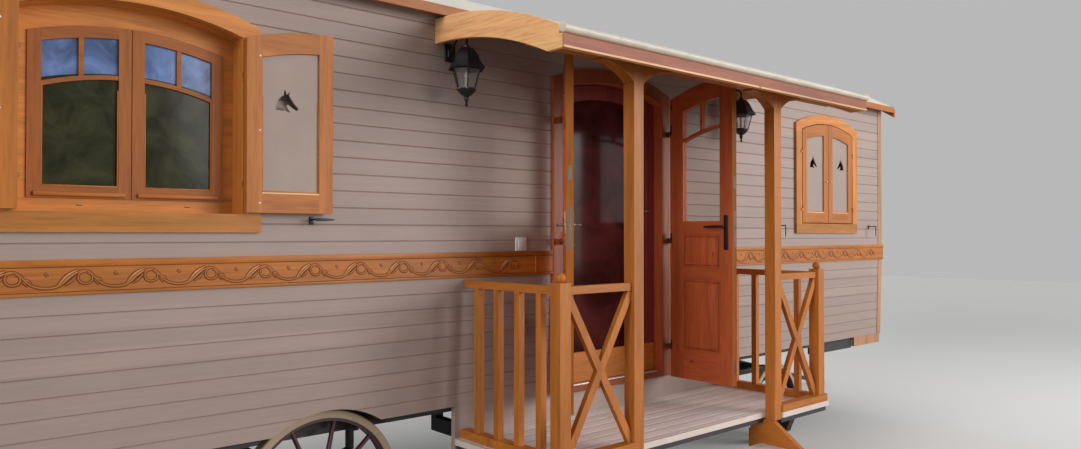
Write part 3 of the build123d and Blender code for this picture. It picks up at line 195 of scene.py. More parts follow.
def openRing(corners, fill):
    # a circle bent to other corners, in edit mode
    clearSelection()
    bpy.ops.mesh.primitive_circle_add(vertices=len(corners), fill_type=fill)
    ring = bpy.context.object
    for vertex, corner in zip(ring.data.vertices, corners):
        vertex.co = corner
    editAll(ring)
    return ring


def closeRing():
    bpy.ops.mesh.normals_make_consistent()
    clearSelection()


def addOutline(points, thickness, edge=0.0):
    # a flat outline in u and v, extruded towards w
    plate = openRing([(u, v, 0) for u, v in points], "NGON")
    bpy.ops.mesh.extrude_region_move(TRANSFORM_OT_translate={"value": (0, 0, thickness)})
    bpy.ops.mesh.select_all(action="SELECT")
    closeRing()
    return softenEdges(plate, edge) if edge else plate


def addTurned(outline, steps=24, place=Matrix()):
    # an outline of radii and heights, spun about the upright axis and put in its place
    form = openRing([(radius, 0, height) for radius, height in outline], "NOTHING")
    bpy.ops.mesh.spin(steps=steps, angle=2 * pi, center=(0, 0, 0), axis=upright)
    bpy.ops.mesh.select_all(action="SELECT")
    bpy.ops.mesh.remove_doubles(threshold=meshing["merge"])
    closeRing()
    return putOn(form, place)


def addStroke(points, widths, height=None, smooth=3, sides=1):
    # a round stroke through points, tapered by its widths and flattened to a height
    clearSelection()
    bpy.ops.curve.primitive_nurbs_path_add()
    stroke = bpy.context.object
    stroke.data.splines.clear()
    line = stroke.data.splines.new("NURBS")
    line.points.add(len(points) - 1)
    widest = max(widths)
    for knot, point, width in zip(line.points, points, widths):
        knot.co = (*point, 0, 1) if len(point) == 2 else (*point, 1)
        knot.radius = width / widest
    line.order_u = 3
    line.use_endpoint_u = True
    line.resolution_u = smooth
    stroke.data.bevel_depth = widest / 2
    stroke.data.bevel_resolution = sides
    stroke.data.use_fill_caps = True
    bpy.ops.object.convert(target="MESH")
    stroke = bpy.context.object
    stroke.scale = (1, 1, 1 if height is None else 2 * height / widest)
    return settle(stroke)


def joinPieces(pieces):
    clearSelection()
    for piece in pieces:
        piece.select_set(True)
    bpy.context.view_layer.objects.active = pieces[0]
    if len(pieces) > 1:
        bpy.ops.object.join()
    return bpy.context.object


def copyPiece(piece, place):
    # what repeats is made once; each copy has its own mesh
    return putOn(addObject(piece.name, piece.data.copy()), place)


def removePieces(pieces):
    for piece in pieces:
        bpy.data.objects.remove(piece)


def setFinishes(piece, finishes):
    piece.data.materials.clear()
    for finish in finishes:
        piece.data.materials.append(finish)


def finishPiece(made, name, finish, smooth=None, place=Matrix(), body="wagon"):
    # one piece, or several joined into one, in its place
    piece = putOn(joinPieces(made) if isinstance(made, list) else made, place)
    piece.name = piece.data.name = name
    if finish:
        setFinishes(piece, [finish])
    if smooth:
        useOnly(piece)
        bpy.ops.object.shade_smooth_by_angle(angle=radians(smooth))
    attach(piece, body)


def copyNode(name):
    # a merged copy of a CAD node, for a piece that stands for it
    source = node[name]
    copied = addObject(name + "Copy", source.data.copy())
    copied.data.transform(source.matrix_world)
    editAll(copied)
    bpy.ops.mesh.remove_doubles(threshold=meshing["merge"])
    bpy.ops.mesh.dissolve_limited(angle_limit=radians(meshing["flat"]))
    clearSelection()
    return copied


print("tools ready")


# Materials
white = (1, 1, 1)


def newMaterial(name, colour, roughness, **values):
    material = bpy.data.materials.new(name)
    material.use_nodes = True
    shader = material.node_tree.nodes["Principled BSDF"]
    values |= {"Base Color": (*colour, 1), "Roughness": roughness, "Coat Roughness": 0.18}
    for socket, value in values.items():
        shader.inputs[socket].default_value = value
    return material, material.node_tree, shader


def link(source, target):
    source.id_data.links.new(source, target)


def setSocket(socket, value):
    if isinstance(value, bpy.types.NodeSocket):
        link(value, socket)
    else:
        socket.default_value = value


def addNode(tree, kind, **values):
    made = tree.nodes.new(kind)
    for name, value in values.items():
        if name in made.inputs:
            setSocket(made.inputs[name], value)
        else:
            setattr(made, name, value)
    return made


def objectPattern(tree, scale=white, turn=0.0):
    # the piece's own coordinates, stretched for grain or boards
    place = addNode(tree, "ShaderNodeTexCoord").outputs["Object"]
    mapping = addNode(tree, "ShaderNodeMapping", Vector=place, Scale=scale, Rotation=(0, 0, turn))
    return mapping.outputs["Vector"]


def noiseOf(vector, scale, detail=4.0, roughness=0.55, distortion=0.0):
    return addNode(vector.id_data, "ShaderNodeTexNoise", Vector=vector, Scale=scale, Detail=detail,
                   Roughness=roughness, Distortion=distortion).outputs["Fac"]


def rampOf(factor, places, colours):
    ramp = addNode(factor.id_data, "ShaderNodeValToRGB", Fac=factor)
    elements = ramp.color_ramp.elements
    while len(elements) < len(places):
        elements.new(0.5)
    for element, place, colour in zip(elements, places, colours):
        element.position = place
        element.color = (*colour, 1)
    return ramp.outputs["Color"]


def mixOf(tree, factor, first, second, blend="MULTIPLY"):
    mix = addNode(tree, "ShaderNodeMix", data_type="RGBA", blend_type=blend)
    for socket, value in zip((mix.inputs["Factor"], *mix.inputs[6:8]), (factor, first, second)):
        setSocket(socket, (*value, 1) if isinstance(value, tuple) else value)
    return mix.outputs[2]


def addMath(tree, operation, *values):
    made = addNode(tree, "ShaderNodeMath", operation=operation)
    for socket, value in zip(made.inputs, values):
        setSocket(socket, value)
    return made.outputs[0]


def addBump(shader, height, strength, distance):
    bump = addNode(shader.id_data, "ShaderNodeBump", Height=height, Strength=strength,
                   Distance=distance)
    link(bump.outputs["Normal"], shader.inputs["Normal"])


def shades(colour, dark, pale):
    return [tuple(c * dark for c in colour), colour, tuple(min(1, c * pale) for c in colour)]


wood = {
    "specular": 0.3, "across": 13, "figure": 0.5, "lines": 6, "knots": (2.2, 5),
    "places": (0.28, 0.5, 0.72), "fine": ((0.34, 0.56), ((0.66, 0.58, 0.5), white)),
    "knot": ((0.02, 0.06), ((0.38, 0.26, 0.18), white)), "bump": (0.2, 0.0008)}


def woodFinish(name, colour, along="x", turn=0.0, roughness=0.5, coat=0.05, dark=0.68, pale=1.2):
    # varnished softwood: soft figure, fine grain lines and a rare knot, all along one axis
    material, tree, shader = newMaterial(name, colour, roughness, **{
        "Coat Weight": coat, "Specular IOR Level": wood["specular"]})
    across = [1 if axis == along else wood["across"] for axis in "xyz"]
    figure = objectPattern(tree, [size * wood["figure"] for size in across], turn)
    lines = objectPattern(tree, [size * wood["lines"] for size in across], turn)
    spots = objectPattern(tree, [wood["knots"][size > 1] for size in across], turn)
    body = rampOf(noiseOf(figure, 1.0, 5, 0.6, 1.4), wood["places"], shades(colour, dark, pale))
    fine = rampOf(noiseOf(lines, 1.0, 3, 0.6, 0.3), *wood["fine"])
    knots = addNode(tree, "ShaderNodeTexVoronoi", Vector=spots, Scale=1.0)
    knot = rampOf(knots.outputs["Distance"], *wood["knot"])
    link(mixOf(tree, 1.0, mixOf(tree, 0.5, body, fine), knot), shader.inputs["Base Color"])
    addBump(shader, noiseOf(lines, 1.0, 3), *wood["bump"])
    return material


joint = (0.35, 0.33, 0.33)
boards = {
    "roughness": 0.55, "places": (0.0, 0.5, 1.0), "shades": (0.94, 1.05), "streaks": (2, 55, 55),
    "grain": ((0.3, 0.7), ((0.86, 0.86, 0.86), white)), "patch": 1.3,
    "patches": ((0.35, 0.65), ((0.93, 0.92, 0.92), white)),
    "joints": ((0.0, 0.05, 0.96, 1.0), (joint, white, white, joint)), "bump": (0.22, 0.0008)}


def boardFinish(name, colour, start, pitch, axis="Z", joints=False):
    # paint over boards: each board a shade of its own, with faint embossed grain
    material, tree, shader = newMaterial(name, colour, boards["roughness"])
    place = addNode(tree, "ShaderNodeTexCoord").outputs["Object"]
    split = addNode(tree, "ShaderNodeSeparateXYZ", Vector=place)
    count = addMath(tree, "DIVIDE", addMath(tree, "SUBTRACT", start, split.outputs[axis]), pitch)
    whole, part = addMath(tree, "FLOOR", count), addMath(tree, "FRACT", count)
    chance = addNode(tree, "ShaderNodeTexWhiteNoise", noise_dimensions="1D", W=whole)
    board = rampOf(chance.outputs["Value"], boards["places"], shades(colour, *boards["shades"]))
    streaks = objectPattern(tree, boards["streaks"])
    grain = rampOf(noiseOf(streaks, 1.0, 4, 0.65), *boards["grain"])
    patches = rampOf(noiseOf(objectPattern(tree), boards["patch"], 3), *boards["patches"])
    coloured = mixOf(tree, 0.8, mixOf(tree, 0.7, board, grain), patches)
    if joints:
        coloured = mixOf(tree, 1.0, coloured, rampOf(part, *boards["joints"]))
    link(coloured, shader.inputs["Base Color"])
    addBump(shader, noiseOf(streaks, 1.0, 4), *boards["bump"])
    return material


paint = {"places": (0.3, 0.5, 0.7), "fine": 240, "bump": (0.08, 0.0004)}
glass = {"ior": 1.45, "places": (0.36, 0.64), "dark": 0.35, "bump": (0.04, 0.002)}


def paintFinish(name, colour, roughness=0.45, metallic=0.0, coat=0.0, scale=9.0, wear=0.12):
    material, tree, shader = newMaterial(name, colour, roughness, Metallic=metallic,
                                         **{"Coat Weight": coat})
    spread = noiseOf(objectPattern(tree), scale, 5, 0.6)
    link(rampOf(spread, paint["places"], shades(colour, 1 - wear, 1 + wear)),
         shader.inputs["Base Color"])
    addBump(shader, noiseOf(objectPattern(tree), paint["fine"], 2), *paint["bump"])
    return material


def glassFinish(name, colour, roughness, alpha, transmission, scale=3.0, specular=0.5):
    material, tree, shader = newMaterial(name, colour, roughness, Alpha=alpha, IOR=glass["ior"], **{
        "Specular IOR Level": specular, "Transmission Weight": transmission})
    smear = noiseOf(objectPattern(tree), scale, 5, 0.6, 0.8)
    spread = rampOf(smear, glass["places"], (tuple(c * glass["dark"] for c in colour), colour))
    link(spread, shader.inputs["Base Color"])
    addBump(shader, smear, *glass["bump"])
    return material


def woodSet(name, colour, axes="xyz"):
    # the same wood for members that run along different axes
    return [woodFinish(name + axis.upper(), colour, axis) for axis in axes]


redBrown = (0.53, 0.118, 0.036)
leftTurn = radians(-49)    # the left door leaf's own direction, as it stands open
taupeUpper = boardFinish("taupeUpper", (0.385, 0.290, 0.250), 3.0, 0.088)
# the soffit's taupe is the cladding paint made paler, as painted light falling on it from below
litTaupeSoffit = boardFinish("litTaupeSoffit", (0.66, 0.47, 0.41), 0.0, 0.095, "Y", True)
deckRows = boardFinish("deckRows", (0.92, 0.84, 0.80), wagon["wallY"] - 0.004, 0.103, "Y", True)
orangeX, orangeY, orangeZ = woodSet("orangeWood", (0.47, 0.150, 0.020))
redX, redY, redZ = woodSet("redWood", redBrown)
redLeft = woodFinish("redWoodTurned", redBrown, "x", leftTurn)
frameX, frameZ = woodSet("windowCasing", (0.62, 0.225, 0.042), "xz")
sashX, sashZ = woodSet("sashWood", (0.37, 0.110, 0.014), "xz")
# the door casing's wood in two copies: paler on the head as a painted highlight, darker on the
# uprights as painted shade under the canopy
casingLitX = woodFinish("doorCasingAcrossLit", (0.92, 0.33, 0.10))
casingShadedZ = woodFinish("doorCasingUprightShaded", (0.25, 0.060, 0.016), "z")
cornerWood = woodFinish("cornerWood", (0.46, 0.24, 0.125), "z")
darkRedZ = woodFinish("darkRedWood", (0.22, 0.030, 0.026), "z")
# the canopy's end boards are painted pale as a painted highlight where sunlight falls on them
sunlitCanopyWood = woodFinish("sunlitCanopyEndWood", (1.0, 0.53, 0.235), "y")
paleX = woodFinish("paleSillWood", (0.46, 0.172, 0.025))
chamferWood = woodFinish("chamferWood", (0.86, 0.50, 0.27))
# the fascia is painted darker as painted shade
shadedFasciaWood = woodFinish("shadedFasciaWood", (0.33, 0.094, 0.040))
carvedWood = woodFinish("carvedWood", (0.50, 0.18, 0.035), dark=0.8, pale=1.1)
# pale wood on the leaves' raised ridges as a painted highlight
leafHighlightWood = woodFinish("carvedLeafHighlightWood", (0.72, 0.36, 0.16), dark=0.8, pale=1.1)
# dark stained wood: stain pooled in the carving's hollows, and painted shadow on the belt's shadow
# lines
stainedWood = woodFinish("stainedWood", (0.20, 0.050, 0.010), roughness=0.7, coat=0.0)
innerWood = woodFinish("innerBoards", (0.20, 0.08, 0.045), roughness=0.6, coat=0.0)
# near-black cabin floor: painted shade for the wagon's underside
shadedFloorWood = woodFinish("floorBoards", (0.05, 0.045, 0.045), roughness=0.7, coat=0.0)
treadWood = woodFinish("deckBoards", (0.90, 0.80, 0.74), roughness=0.62, coat=0.0, dark=0.88,
                       pale=1.07)
edgePaint = paintFinish("deckEdgePaint", (0.66, 0.56, 0.50), 0.5, wear=0.06)
socketPaint = paintFinish("socketPlastic", (0.22, 0.21, 0.26), 0.4, wear=0.05)
creamPaint = paintFinish("creamTrim", (0.74, 0.66, 0.53), 0.42)
# the rims' cream paint is darkened to tan as painted shade from the body above the wheels
rimPaint = paintFinish("rimPaint", (0.40, 0.285, 0.185), 0.45, wear=0.06)
membrane = paintFinish("roofMembrane", (0.72, 0.67, 0.58), 0.7, scale=4.0)
maroonPaint = paintFinish("maroonPaint", (0.085, 0.016, 0.024), 0.35, coat=0.3)
brownPaint = paintFinish("brownLine", (0.045, 0.018, 0.014), 0.4)
blackIron = paintFinish("blackIron", (0.018, 0.018, 0.022), 0.38, 0.3)
steel = paintFinish("brushedSteel", (0.36, 0.33, 0.28), 0.35, 1.0, wear=0.08)
zinc = paintFinish("paleFittings", (0.72, 0.70, 0.66), 0.4, 0.3, wear=0.06)
# dark steel for the chassis and fittings; on the deck frame the same near-black is painted shade
# under the deck
darkSteelAndShade = paintFinish("darkSteelAndShade", (0.035, 0.033, 0.035), 0.55, 0.2)
# near-black paint on the wheel boxes: painted shade inside the wheel arches, behind the spokes
archShadePaint = paintFinish("archShadePaint", (0.03, 0.025, 0.025), 0.8)
whitePlastic = paintFinish("whitePlastic", (0.74, 0.73, 0.72), 0.35, wear=0.04)
panelPaint = paintFinish("taupePanel", (0.345, 0.250, 0.208), 0.5, wear=0.05)
windowGlass = glassFinish("windowGlass", (0.060, 0.062, 0.030), 0.09, 1.0, 0.1, 6.0, 0.12)
# the upper panes are painted blue as a painted reflection of the sky
skyGlass = glassFinish("skyGlass", (0.20, 0.31, 0.62), 0.08, 1.0, 0.1, 5.0, 0.2)
# the inner door's glass is opaque dark red-brown: painted shade standing for the dim cabin behind
# it
doorGlass = glassFinish("doorGlass", (0.075, 0.015, 0.014), 0.1, 1.0, 0.0, 3.0, 0.1)
clearGlass = glassFinish("clearGlass", (0.22, 0.12, 0.06), 0.02, 0.26, 0.6)
lampGlass = glassFinish("lampGlass", (0.55, 0.52, 0.5), 0.05, 0.22, 0.3)
floorPaint, tree, floorShader = newMaterial("studioFloorPaint", studio["floorSeen"], 0.9)
seen = addNode(tree, "ShaderNodeLightPath").outputs["Is Camera Ray"]
link(mixOf(tree, seen, studio["floorLit"], studio["floorSeen"], "MIX"),
     floorShader.inputs["Base Color"])
setFinishes(floor, [floorPaint])

wheels = ["wheel_" + end + side for end in ("rear", "front") for side in ("_left", "_right")]
shutters = {
    "pin": (0.45, 0.026), "stiles": (0.081, 0.372), "panelFoot": 2.021,
    "leaves": {
        "left_outer": (-3.03, -1, 180), "left_inner": (-3.03, 1, 180),
        "right_inner": (2.85, -1, 0), "right_outer": (2.85, 1, 0)}}
finishes = {
    taupeUpper: ["cladding_door_side", "cladding_far_side", "cladding_ends", "deck_skirt"],
    innerWood: ["wall_door_side", "wall_far_side", "walls_ends"],
    shadedFloorWood: ["cabin_floor"],
    membrane: ["roof"],
    orangeX: ["eave_boards", "belt_rail"],
    cornerWood: ["corner_boards"],
    treadWood: ["stair_treads"],
    deckRows: ["deck_boards"],
    edgePaint: ["deck_edge"],
    creamPaint: ["gutter"],
    rimPaint: [name + "_rim" for name in wheels],
    maroonPaint: wheels,
    blackIron: ["lamps"],
    # the deck frame takes the near-black as painted shade under the deck's edge
    darkSteelAndShade: ["chassis", "rear_axle", "front_axle", "front_carriage", "drawbar",
                "turntable_ring", "deck_frame"],
    # the wheel boxes are painted near-black as painted shade
    archShadePaint: ["wheel_boxes"],
    panelPaint: ["shutter_" + name + "_panel" for name in shutters["leaves"]],
    windowGlass: ["window_glass"],
    doorGlass: ["inner_door_glass"],
    clearGlass: ["door_leaf_left_glass", "door_leaf_right_glass"],
    lampGlass: ["lamp_glass"],
}
for material, names in finishes.items():
    for name in names:
        setFinishes(node[name], [material])
print("materials ready")


# Joinery: soft-edged wood that stands for the CAD pieces, with the grain along each member
def dressNode(name, finishes, rule, body="wagon", edge=0.002, cuts=()):
    # rule gives a face the number of its finish; cuts are the joints between members, each a
    # point and a direction
    dressed = copyNode(name)
    for point, across in cuts:
        editAll(dressed)
        bpy.ops.mesh.bisect(plane_co=point, plane_no=across)
    clearSelection()
    softenEdges(dressed, edge, 2, 40)
    setFinishes(dressed, finishes)
    for face in dressed.data.polygons:
        face.material_index = rule(face)
    finishPiece(dressed, titleOf(name) + "Wood", None, body=body)
    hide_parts(name)


def fromWall(place):
    # x from the doorway's middle, out from the porch wall, and height
    return place.x - wagon["doorX"], wagon["wallY"] - place.y, place.z


def levelCut(z):
    return Vector((0, 0, z)), upright


# In a window's own middle: panes between their edges, rails a little inside them
windows = {
    "places": [(-3.03, 1), (2.85, 1), (-2.3, -1), (2.3, -1)], "farSide": -1.2, "foot": 1.827,
    "sill": 0.087, "peak": 2.914, "radius": 1.465, "headFoot": 2.72, "opening": 0.454,
    "archInset": 0.171, "transom": 0.215, "panes": (0.0535, 0.352), "rails": (0.0538, 0.3517),
    "paneFoot": 2.026}
jointSlack = 0.0005    # a face this near a joint still counts as between the stiles


def windowArch(u):
    # height of the frame's inner arch
    inner = windows["radius"] - windows["archInset"]
    return windows["peak"] - windows["radius"] + sqrt(inner**2 - u**2)


def nearestWindow(place):
    x, out, z = fromWall(place)
    side = 1 if out > windows["farSide"] else -1
    return min((x - middle for middle, hand in windows["places"] if hand == side), key=abs), z


def casingGrain(face):
    # stiles upright, head and sill along the wall
    u, z = nearestWindow(face.center)
    if z < windows["foot"] + windows["sill"]:
        return 2
    return 0 if abs(u) < windows["opening"] - jointSlack or z > windows["headFoot"] else 1


def sashGrain(face):
    low, high = windows["rails"]
    return 0 if low < abs(nearestWindow(face.center)[0]) < high else 1


casingCuts = [levelCut(windows["foot"] + windows["sill"]), levelCut(windows["headFoot"])]
sashCuts = [levelCut(windows["paneFoot"])]
for middle, side in windows["places"]:
    for hand in (-1, 1):
        casingCuts.append((at(middle + hand * windows["opening"], 0, 0), alongX))
    for u in sorted(hand * edge for hand in (-1, 1) for edge in windows["panes"]):
        sashCuts.append((at(middle + u, 0, 0), alongX))
dressNode("window_frames", [frameX, frameZ, paleX], casingGrain, edge=0.0025, cuts=casingCuts)
dressNode("window_sashes", [sashX, sashZ], sashGrain, edge=0.0015, cuts=sashCuts)
railings = {"topRail": 1.506, "sole": 0.679, "front": 0.77, "newelX": 1.247, "newelHalf": 0.04}


def railingGrain(face):
    x, out, z = fromWall(face.center)
    front, high = out > railings["front"], z > railings["topRail"]
    between = abs(abs(x) - railings["newelX"]) > railings["newelHalf"]
    if high and front and between or z < railings["sole"]:
        return 0
    return 1 if high and not front else 2


canopy = {
    "beamFoot": 2.66, "boardFront": 1.0505, "moulding": ((1.073, 1.081), (2.697, 2.709)),
    "mouldingHalf": 1.472, "gutterEnd": (1.4745, 1.075, 2.793),
    "clips": (-1.1, -0.55, 0, 0.55, 1.1), "clip": ((1.046, 1.101), (2.7945, 2.7975)),
    "clipHalf": 0.009, "roofSide": 0.3,
    "cap": [(0, 0), (0.0245, 0), (0.0245, 0.0005), (0.022, 0.0014), (0, 0.0016)]}
dressNode("railings", [orangeX, orangeY, orangeZ], railingGrain, edge=0.003)
dressNode("canopy_posts", [orangeX, orangeZ],
          lambda face: 0 if face.center.z > canopy["beamFoot"] else 1, edge=0.004)
# end boards in the sunlit copy and fascia in the shaded copy of the canopy wood: painted light and
# shade
dressNode("canopy_boards", [sunlitCanopyWood, shadedFasciaWood],
          lambda face: 1 if fromWall(face.center)[1] > canopy["boardFront"] else 0, edge=0.003)
dressNode("stair_stringers", [orangeY], lambda face: 0, edge=0.004)

# Doors: u runs from a leaf's hinge pin, stiles are where its panels and glass begin and end
doors = {
    "pin": (0.553, 0.073), "reach": 0.548, "lipWidth": 0.004, "stiles": (0.126, 0.443),
    "glassFoot": 1.91, "topRail": 2.11, "smallPanel": (1.585, 1.814), "largePanel": (1.001, 1.498),
    "opened": {"left": (-1, 131), "right": (1, 90)}, "frameArch": 2.80, "frameFace": 0.019,
    "innerRail": 1.024}


def doorFrameGrain(face):
    x, out, z = fromWall(face.center)
    member = 0 if z > doors["frameArch"] else 1
    return member + 2 if out < doors["frameFace"] else member


def leafFrame(side, pin, opened):
    # u from the pin along a leaf, v up, w towards its inner face
    angle = radians(opened)
    along = Vector((-side * cos(angle), -sin(angle), 0))
    inward = Vector((-side * sin(angle), cos(angle), 0))
    return frameOf(at(side * pin[0], pin[1], 0), along, upright, inward)


leafPlaces = {hand: leafFrame(side, doors["pin"], opened)
              for hand, (side, opened) in doors["opened"].items()}


def leafGrain(hand):
    back = leafPlaces[hand].inverted()
    left, right = doors["stiles"]
    large, small = doors["largePanel"], doors["smallPanel"]

    def grain(face):
        u, v = (back @ face.center).xy
        if u > doors["reach"] - doors["lipWidth"]:
            return 2
        if u < left - jointSlack or u > right + jointSlack:
            return 1
        rails = (v < large[0] or large[1] < v < small[0] or small[1] < v < doors["glassFoot"]
                 or v > doors["topRail"])
        return 0 if rails else 1
    return grain


def leafCuts(place, edges):
    across = (place.to_3x3() @ alongX).normalized()
    return [(place @ Vector((u, 0, 0)), across) for u in edges]


# door frame: the head in the lit copy of the casing wood, the uprights in the shaded copy, as
# painted light and shade
dressNode("door_frame", [casingLitX, casingShadedZ, redX, redZ], doorFrameGrain)
for hand, along in (("left", redLeft), ("right", redY)):
    dressNode("door_leaf_" + hand, [along, redZ, orangeZ], leafGrain(hand),
              "door_leaf_" + hand, 0.0015, leafCuts(leafPlaces[hand], doors["stiles"]))
dressNode("inner_door", [orangeX, darkRedZ],
          lambda face: 0 if face.center.z < doors["innerRail"] + jointSlack else 1,
          "inner_door", cuts=[levelCut(doors["innerRail"])])


def shutterFrame(name):
    middle, side, opened = shutters["leaves"][name]
    return shift(middle, 0, 0) @ leafFrame(side, shutters["pin"], opened)


def shutterGrain(name):
    back = shutterFrame(name).inverted()
    left, right = shutters["stiles"]
    return lambda face: 0 if (left - jointSlack < (back @ face.center).x
                              < right + jointSlack) else 1


for name in shutters["leaves"]:
    dressNode("shutter_" + name, [orangeX, orangeZ], shutterGrain(name),
              "shutter_" + name, 0.003, leafCuts(shutterFrame(name), shutters["stiles"]))
print("joinery ready")


# Sides of the wagon: u along the wall, v up, w outwards
middleY = (wagon["wallY"] + wagon["farWallY"]) / 2
sideFrames = {side: frameOf(Vector((x + wagon["doorX"], y, 0)), along, upright, facing)
              for side, x, y, along, facing in (
                  ("near", 0, wagon["wallY"], alongX, -alongY),
                  ("far", 0, wagon["farWallY"], -alongX, alongY),
                  ("front", wagon["halfLength"], middleY, alongY, alongX),
                  ("rear", -wagon["halfLength"], middleY, -alongY, -alongX))}

# Carved belt: a running vine with rings, leaves, sprouts and buds, as strokes in millimetres
# from a ring's middle, each with its widths
belt = {
    "period": 0.2586, "ringHeight": 1.637, "face": 0.012, "relief": 0.0046, "ridge": 0.002,
    "outline": 0.0075, "outlineHeight": 0.0012, "proud": 0.003, "sunk": 0.002,
    # the lines are dark strips of painted shadow along the inner edges of the top and foot bands
    "bands": ((1.684, 1.713), (1.565, 1.577)), "lines": (1.6828, 1.5782), "shadowLineHalf": 0.0024,
    "shadowLineProud": 0.0008,
    "stretches": {
        "nearLeft": ("near", -3.752, 12), "nearRight": ("near", 0.85, 12),
        "far": ("far", -3.75, 29), "front": ("front", -1.03, 8), "rear": ("rear", -1.03, 8)},
    "spans": (
        ("near", -3.942, -0.576), ("near", 0.576, 3.942), ("far", -3.942, 3.942),
        ("front", -1.262, 1.262), ("rear", -1.262, 1.262)),
    "stop": ((-0.728, 1.577, 0.010), (-0.714, 1.684, 0.0155))}
# the stem, the ring with its two sprouts, a bud and two leaves
vine = [
    ([(8, 27), (24, 16), (36, -2), (52, -21), (80, -37), (116, -43), (148, -39), (172, -26),
      (190, -9), (210, 11), (234, 25), (258, 30), (270, 25)],
     [6, 7, 7, 7, 8, 9, 9, 8, 7, 6, 6, 6, 5]),
    ([(0, 26), (-18, 24), (-28, 10), (-28, -8), (-18, -23), (0, -27), (18, -22), (27, -8),
      (25, 8), (14, 18), (4, 19)], [6, 7, 7, 7, 7, 7, 7, 7, 6, 5, 4]),
    ([(36, -4), (50, -6), (60, -15), (62, -22)], [4, 8, 6, 2]),
    ([(33, -10), (42, -20), (50, -33)], [4, 7, 2]),
    ([(108, 22), (117, 15), (120, 6)], [3, 9, 3]),
    ([(156, -34), (170, -14), (188, 7), (208, 22), (234, 34)], [3, 11, 14, 11, 3]),
    ([(180, -32), (196, -22), (212, -8), (224, 6)], [2, 8, 8, 2])]
# raised ridges along the leaves, in pale wood as painted highlights
leafRidgeHighlights = [
    ([(160, -28), (173, -8), (190, 10), (209, 24), (230, 33)], [2, 5, 7, 5, 2]),
    ([(176, -18), (192, -2), (208, 11), (226, 23)], [2, 5, 5, 2])]


def vineMotif(strokes, spread, height):
    return joinPieces([addStroke([(u / 1000, v / 1000) for u, v in points],
                                 [width / 1000 + spread for width in widths], height)
                       for points, widths in strokes])


vineEnd = vine[1:4]
# the dark outline under each vine stands for stain in the hollows together with the shade there
raised, flat = (0, belt["relief"]), (belt["outline"], belt["outlineHeight"])
carving = {
    "Vine": (carvedWood, vineMotif(vine, *raised), vineMotif(vineEnd, *raised)),
    "VineShade": (stainedWood, vineMotif(vine, *flat), vineMotif(vineEnd, *flat)),
    "VineLeafHighlights": (leafHighlightWood, vineMotif(leafRidgeHighlights, 0, belt["relief"] + belt["ridge"]), None)}
for stretch, (side, start, count) in belt["stretches"].items():
    for title, (finish, motif, ending) in carving.items():
        chosen = [motif] * (count - 1) + [ending] * (ending is not None)
        copies = [copyPiece(piece, sideFrames[side] @ shift(
            start + index * belt["period"], belt["ringHeight"], belt["face"]))
                  for index, piece in enumerate(chosen)]
        finishPiece(copies, stretch + title, finish, 50)
for finish, *motifs in carving.values():
    removePieces(motif for motif in motifs if motif)
edges, lines = [], []
foot = belt["face"] - belt["sunk"]
for side, start, end in belt["spans"]:
    for low, high in belt["bands"]:
        edges.append(putOn(addBlock((start, low, foot), (end, high, belt["face"] + belt["proud"]),
                                    0.0014), sideFrames[side]))
    # dark strips along the bands' inner edges: painted shadow lines
    for line in belt["lines"]:
        low, high = line - belt["shadowLineHalf"], line + belt["shadowLineHalf"]
        lines.append(putOn(addBlock((start, low, foot), (end, high, belt["face"]
                                                         + belt["shadowLineProud"])), sideFrames[side]))
edges.append(putOn(addBlock(*belt["stop"], 0.0025, 3), sideFrames["near"]))
finishPiece(edges, "beltEdges", orangeX, 40)
finishPiece(lines, "beltShadowLines", stainedWood)
print("belt carved")


# Shutters: arched panels with a horse's head sawn through, beads, knobs and screws
head = {
    "place": (0.208, 2.474),
    "outline": [(-57, -52), (-57, -36), (-52, -16), (-43, 1), (-32, 14), (-20, 23), (-15, 27),
        (-16, 40), (-12, 53), (-6, 41), (-3, 30), (3, 31), (13, 45), (11, 30), (12, 22), (20, 11),
        (30, -3), (41, -17), (52, -28), (58, -36), (55, -43), (48, -46), (43, -42), (34, -38),
        (24, -32), (13, -25), (4, -18), (-1, -25), (0, -35), (7, -45), (16, -57), (3, -55),
        (-8, -50), (-22, -52), (-40, -50)]}
trim = {
    "beads": ((0.0085, 0.0155), (0.0265, 0.0335)), "bead": 0.007, "lap": 0.001, "beadLength": 0.46,
    "chamfers": ((0.036, 0.0388), (0.0032, 0.006)),
    "screws": [(0.069, height, 0.038) for height in (1.968, 2.316, 2.674)],
    "screw": [(0, 0), (0.005, 0), (0.005, 0.0006), (0.0035, 0.0018), (0, 0.002)],
    "knobPlace": (0.412, 2.30, 0.004),
    "knob": [(0, 0), (0.004, 0), (0.004, 0.004), (0.007, 0.007), (0.007, 0.010), (0.005, 0.013),
        (0, 0.014)]}
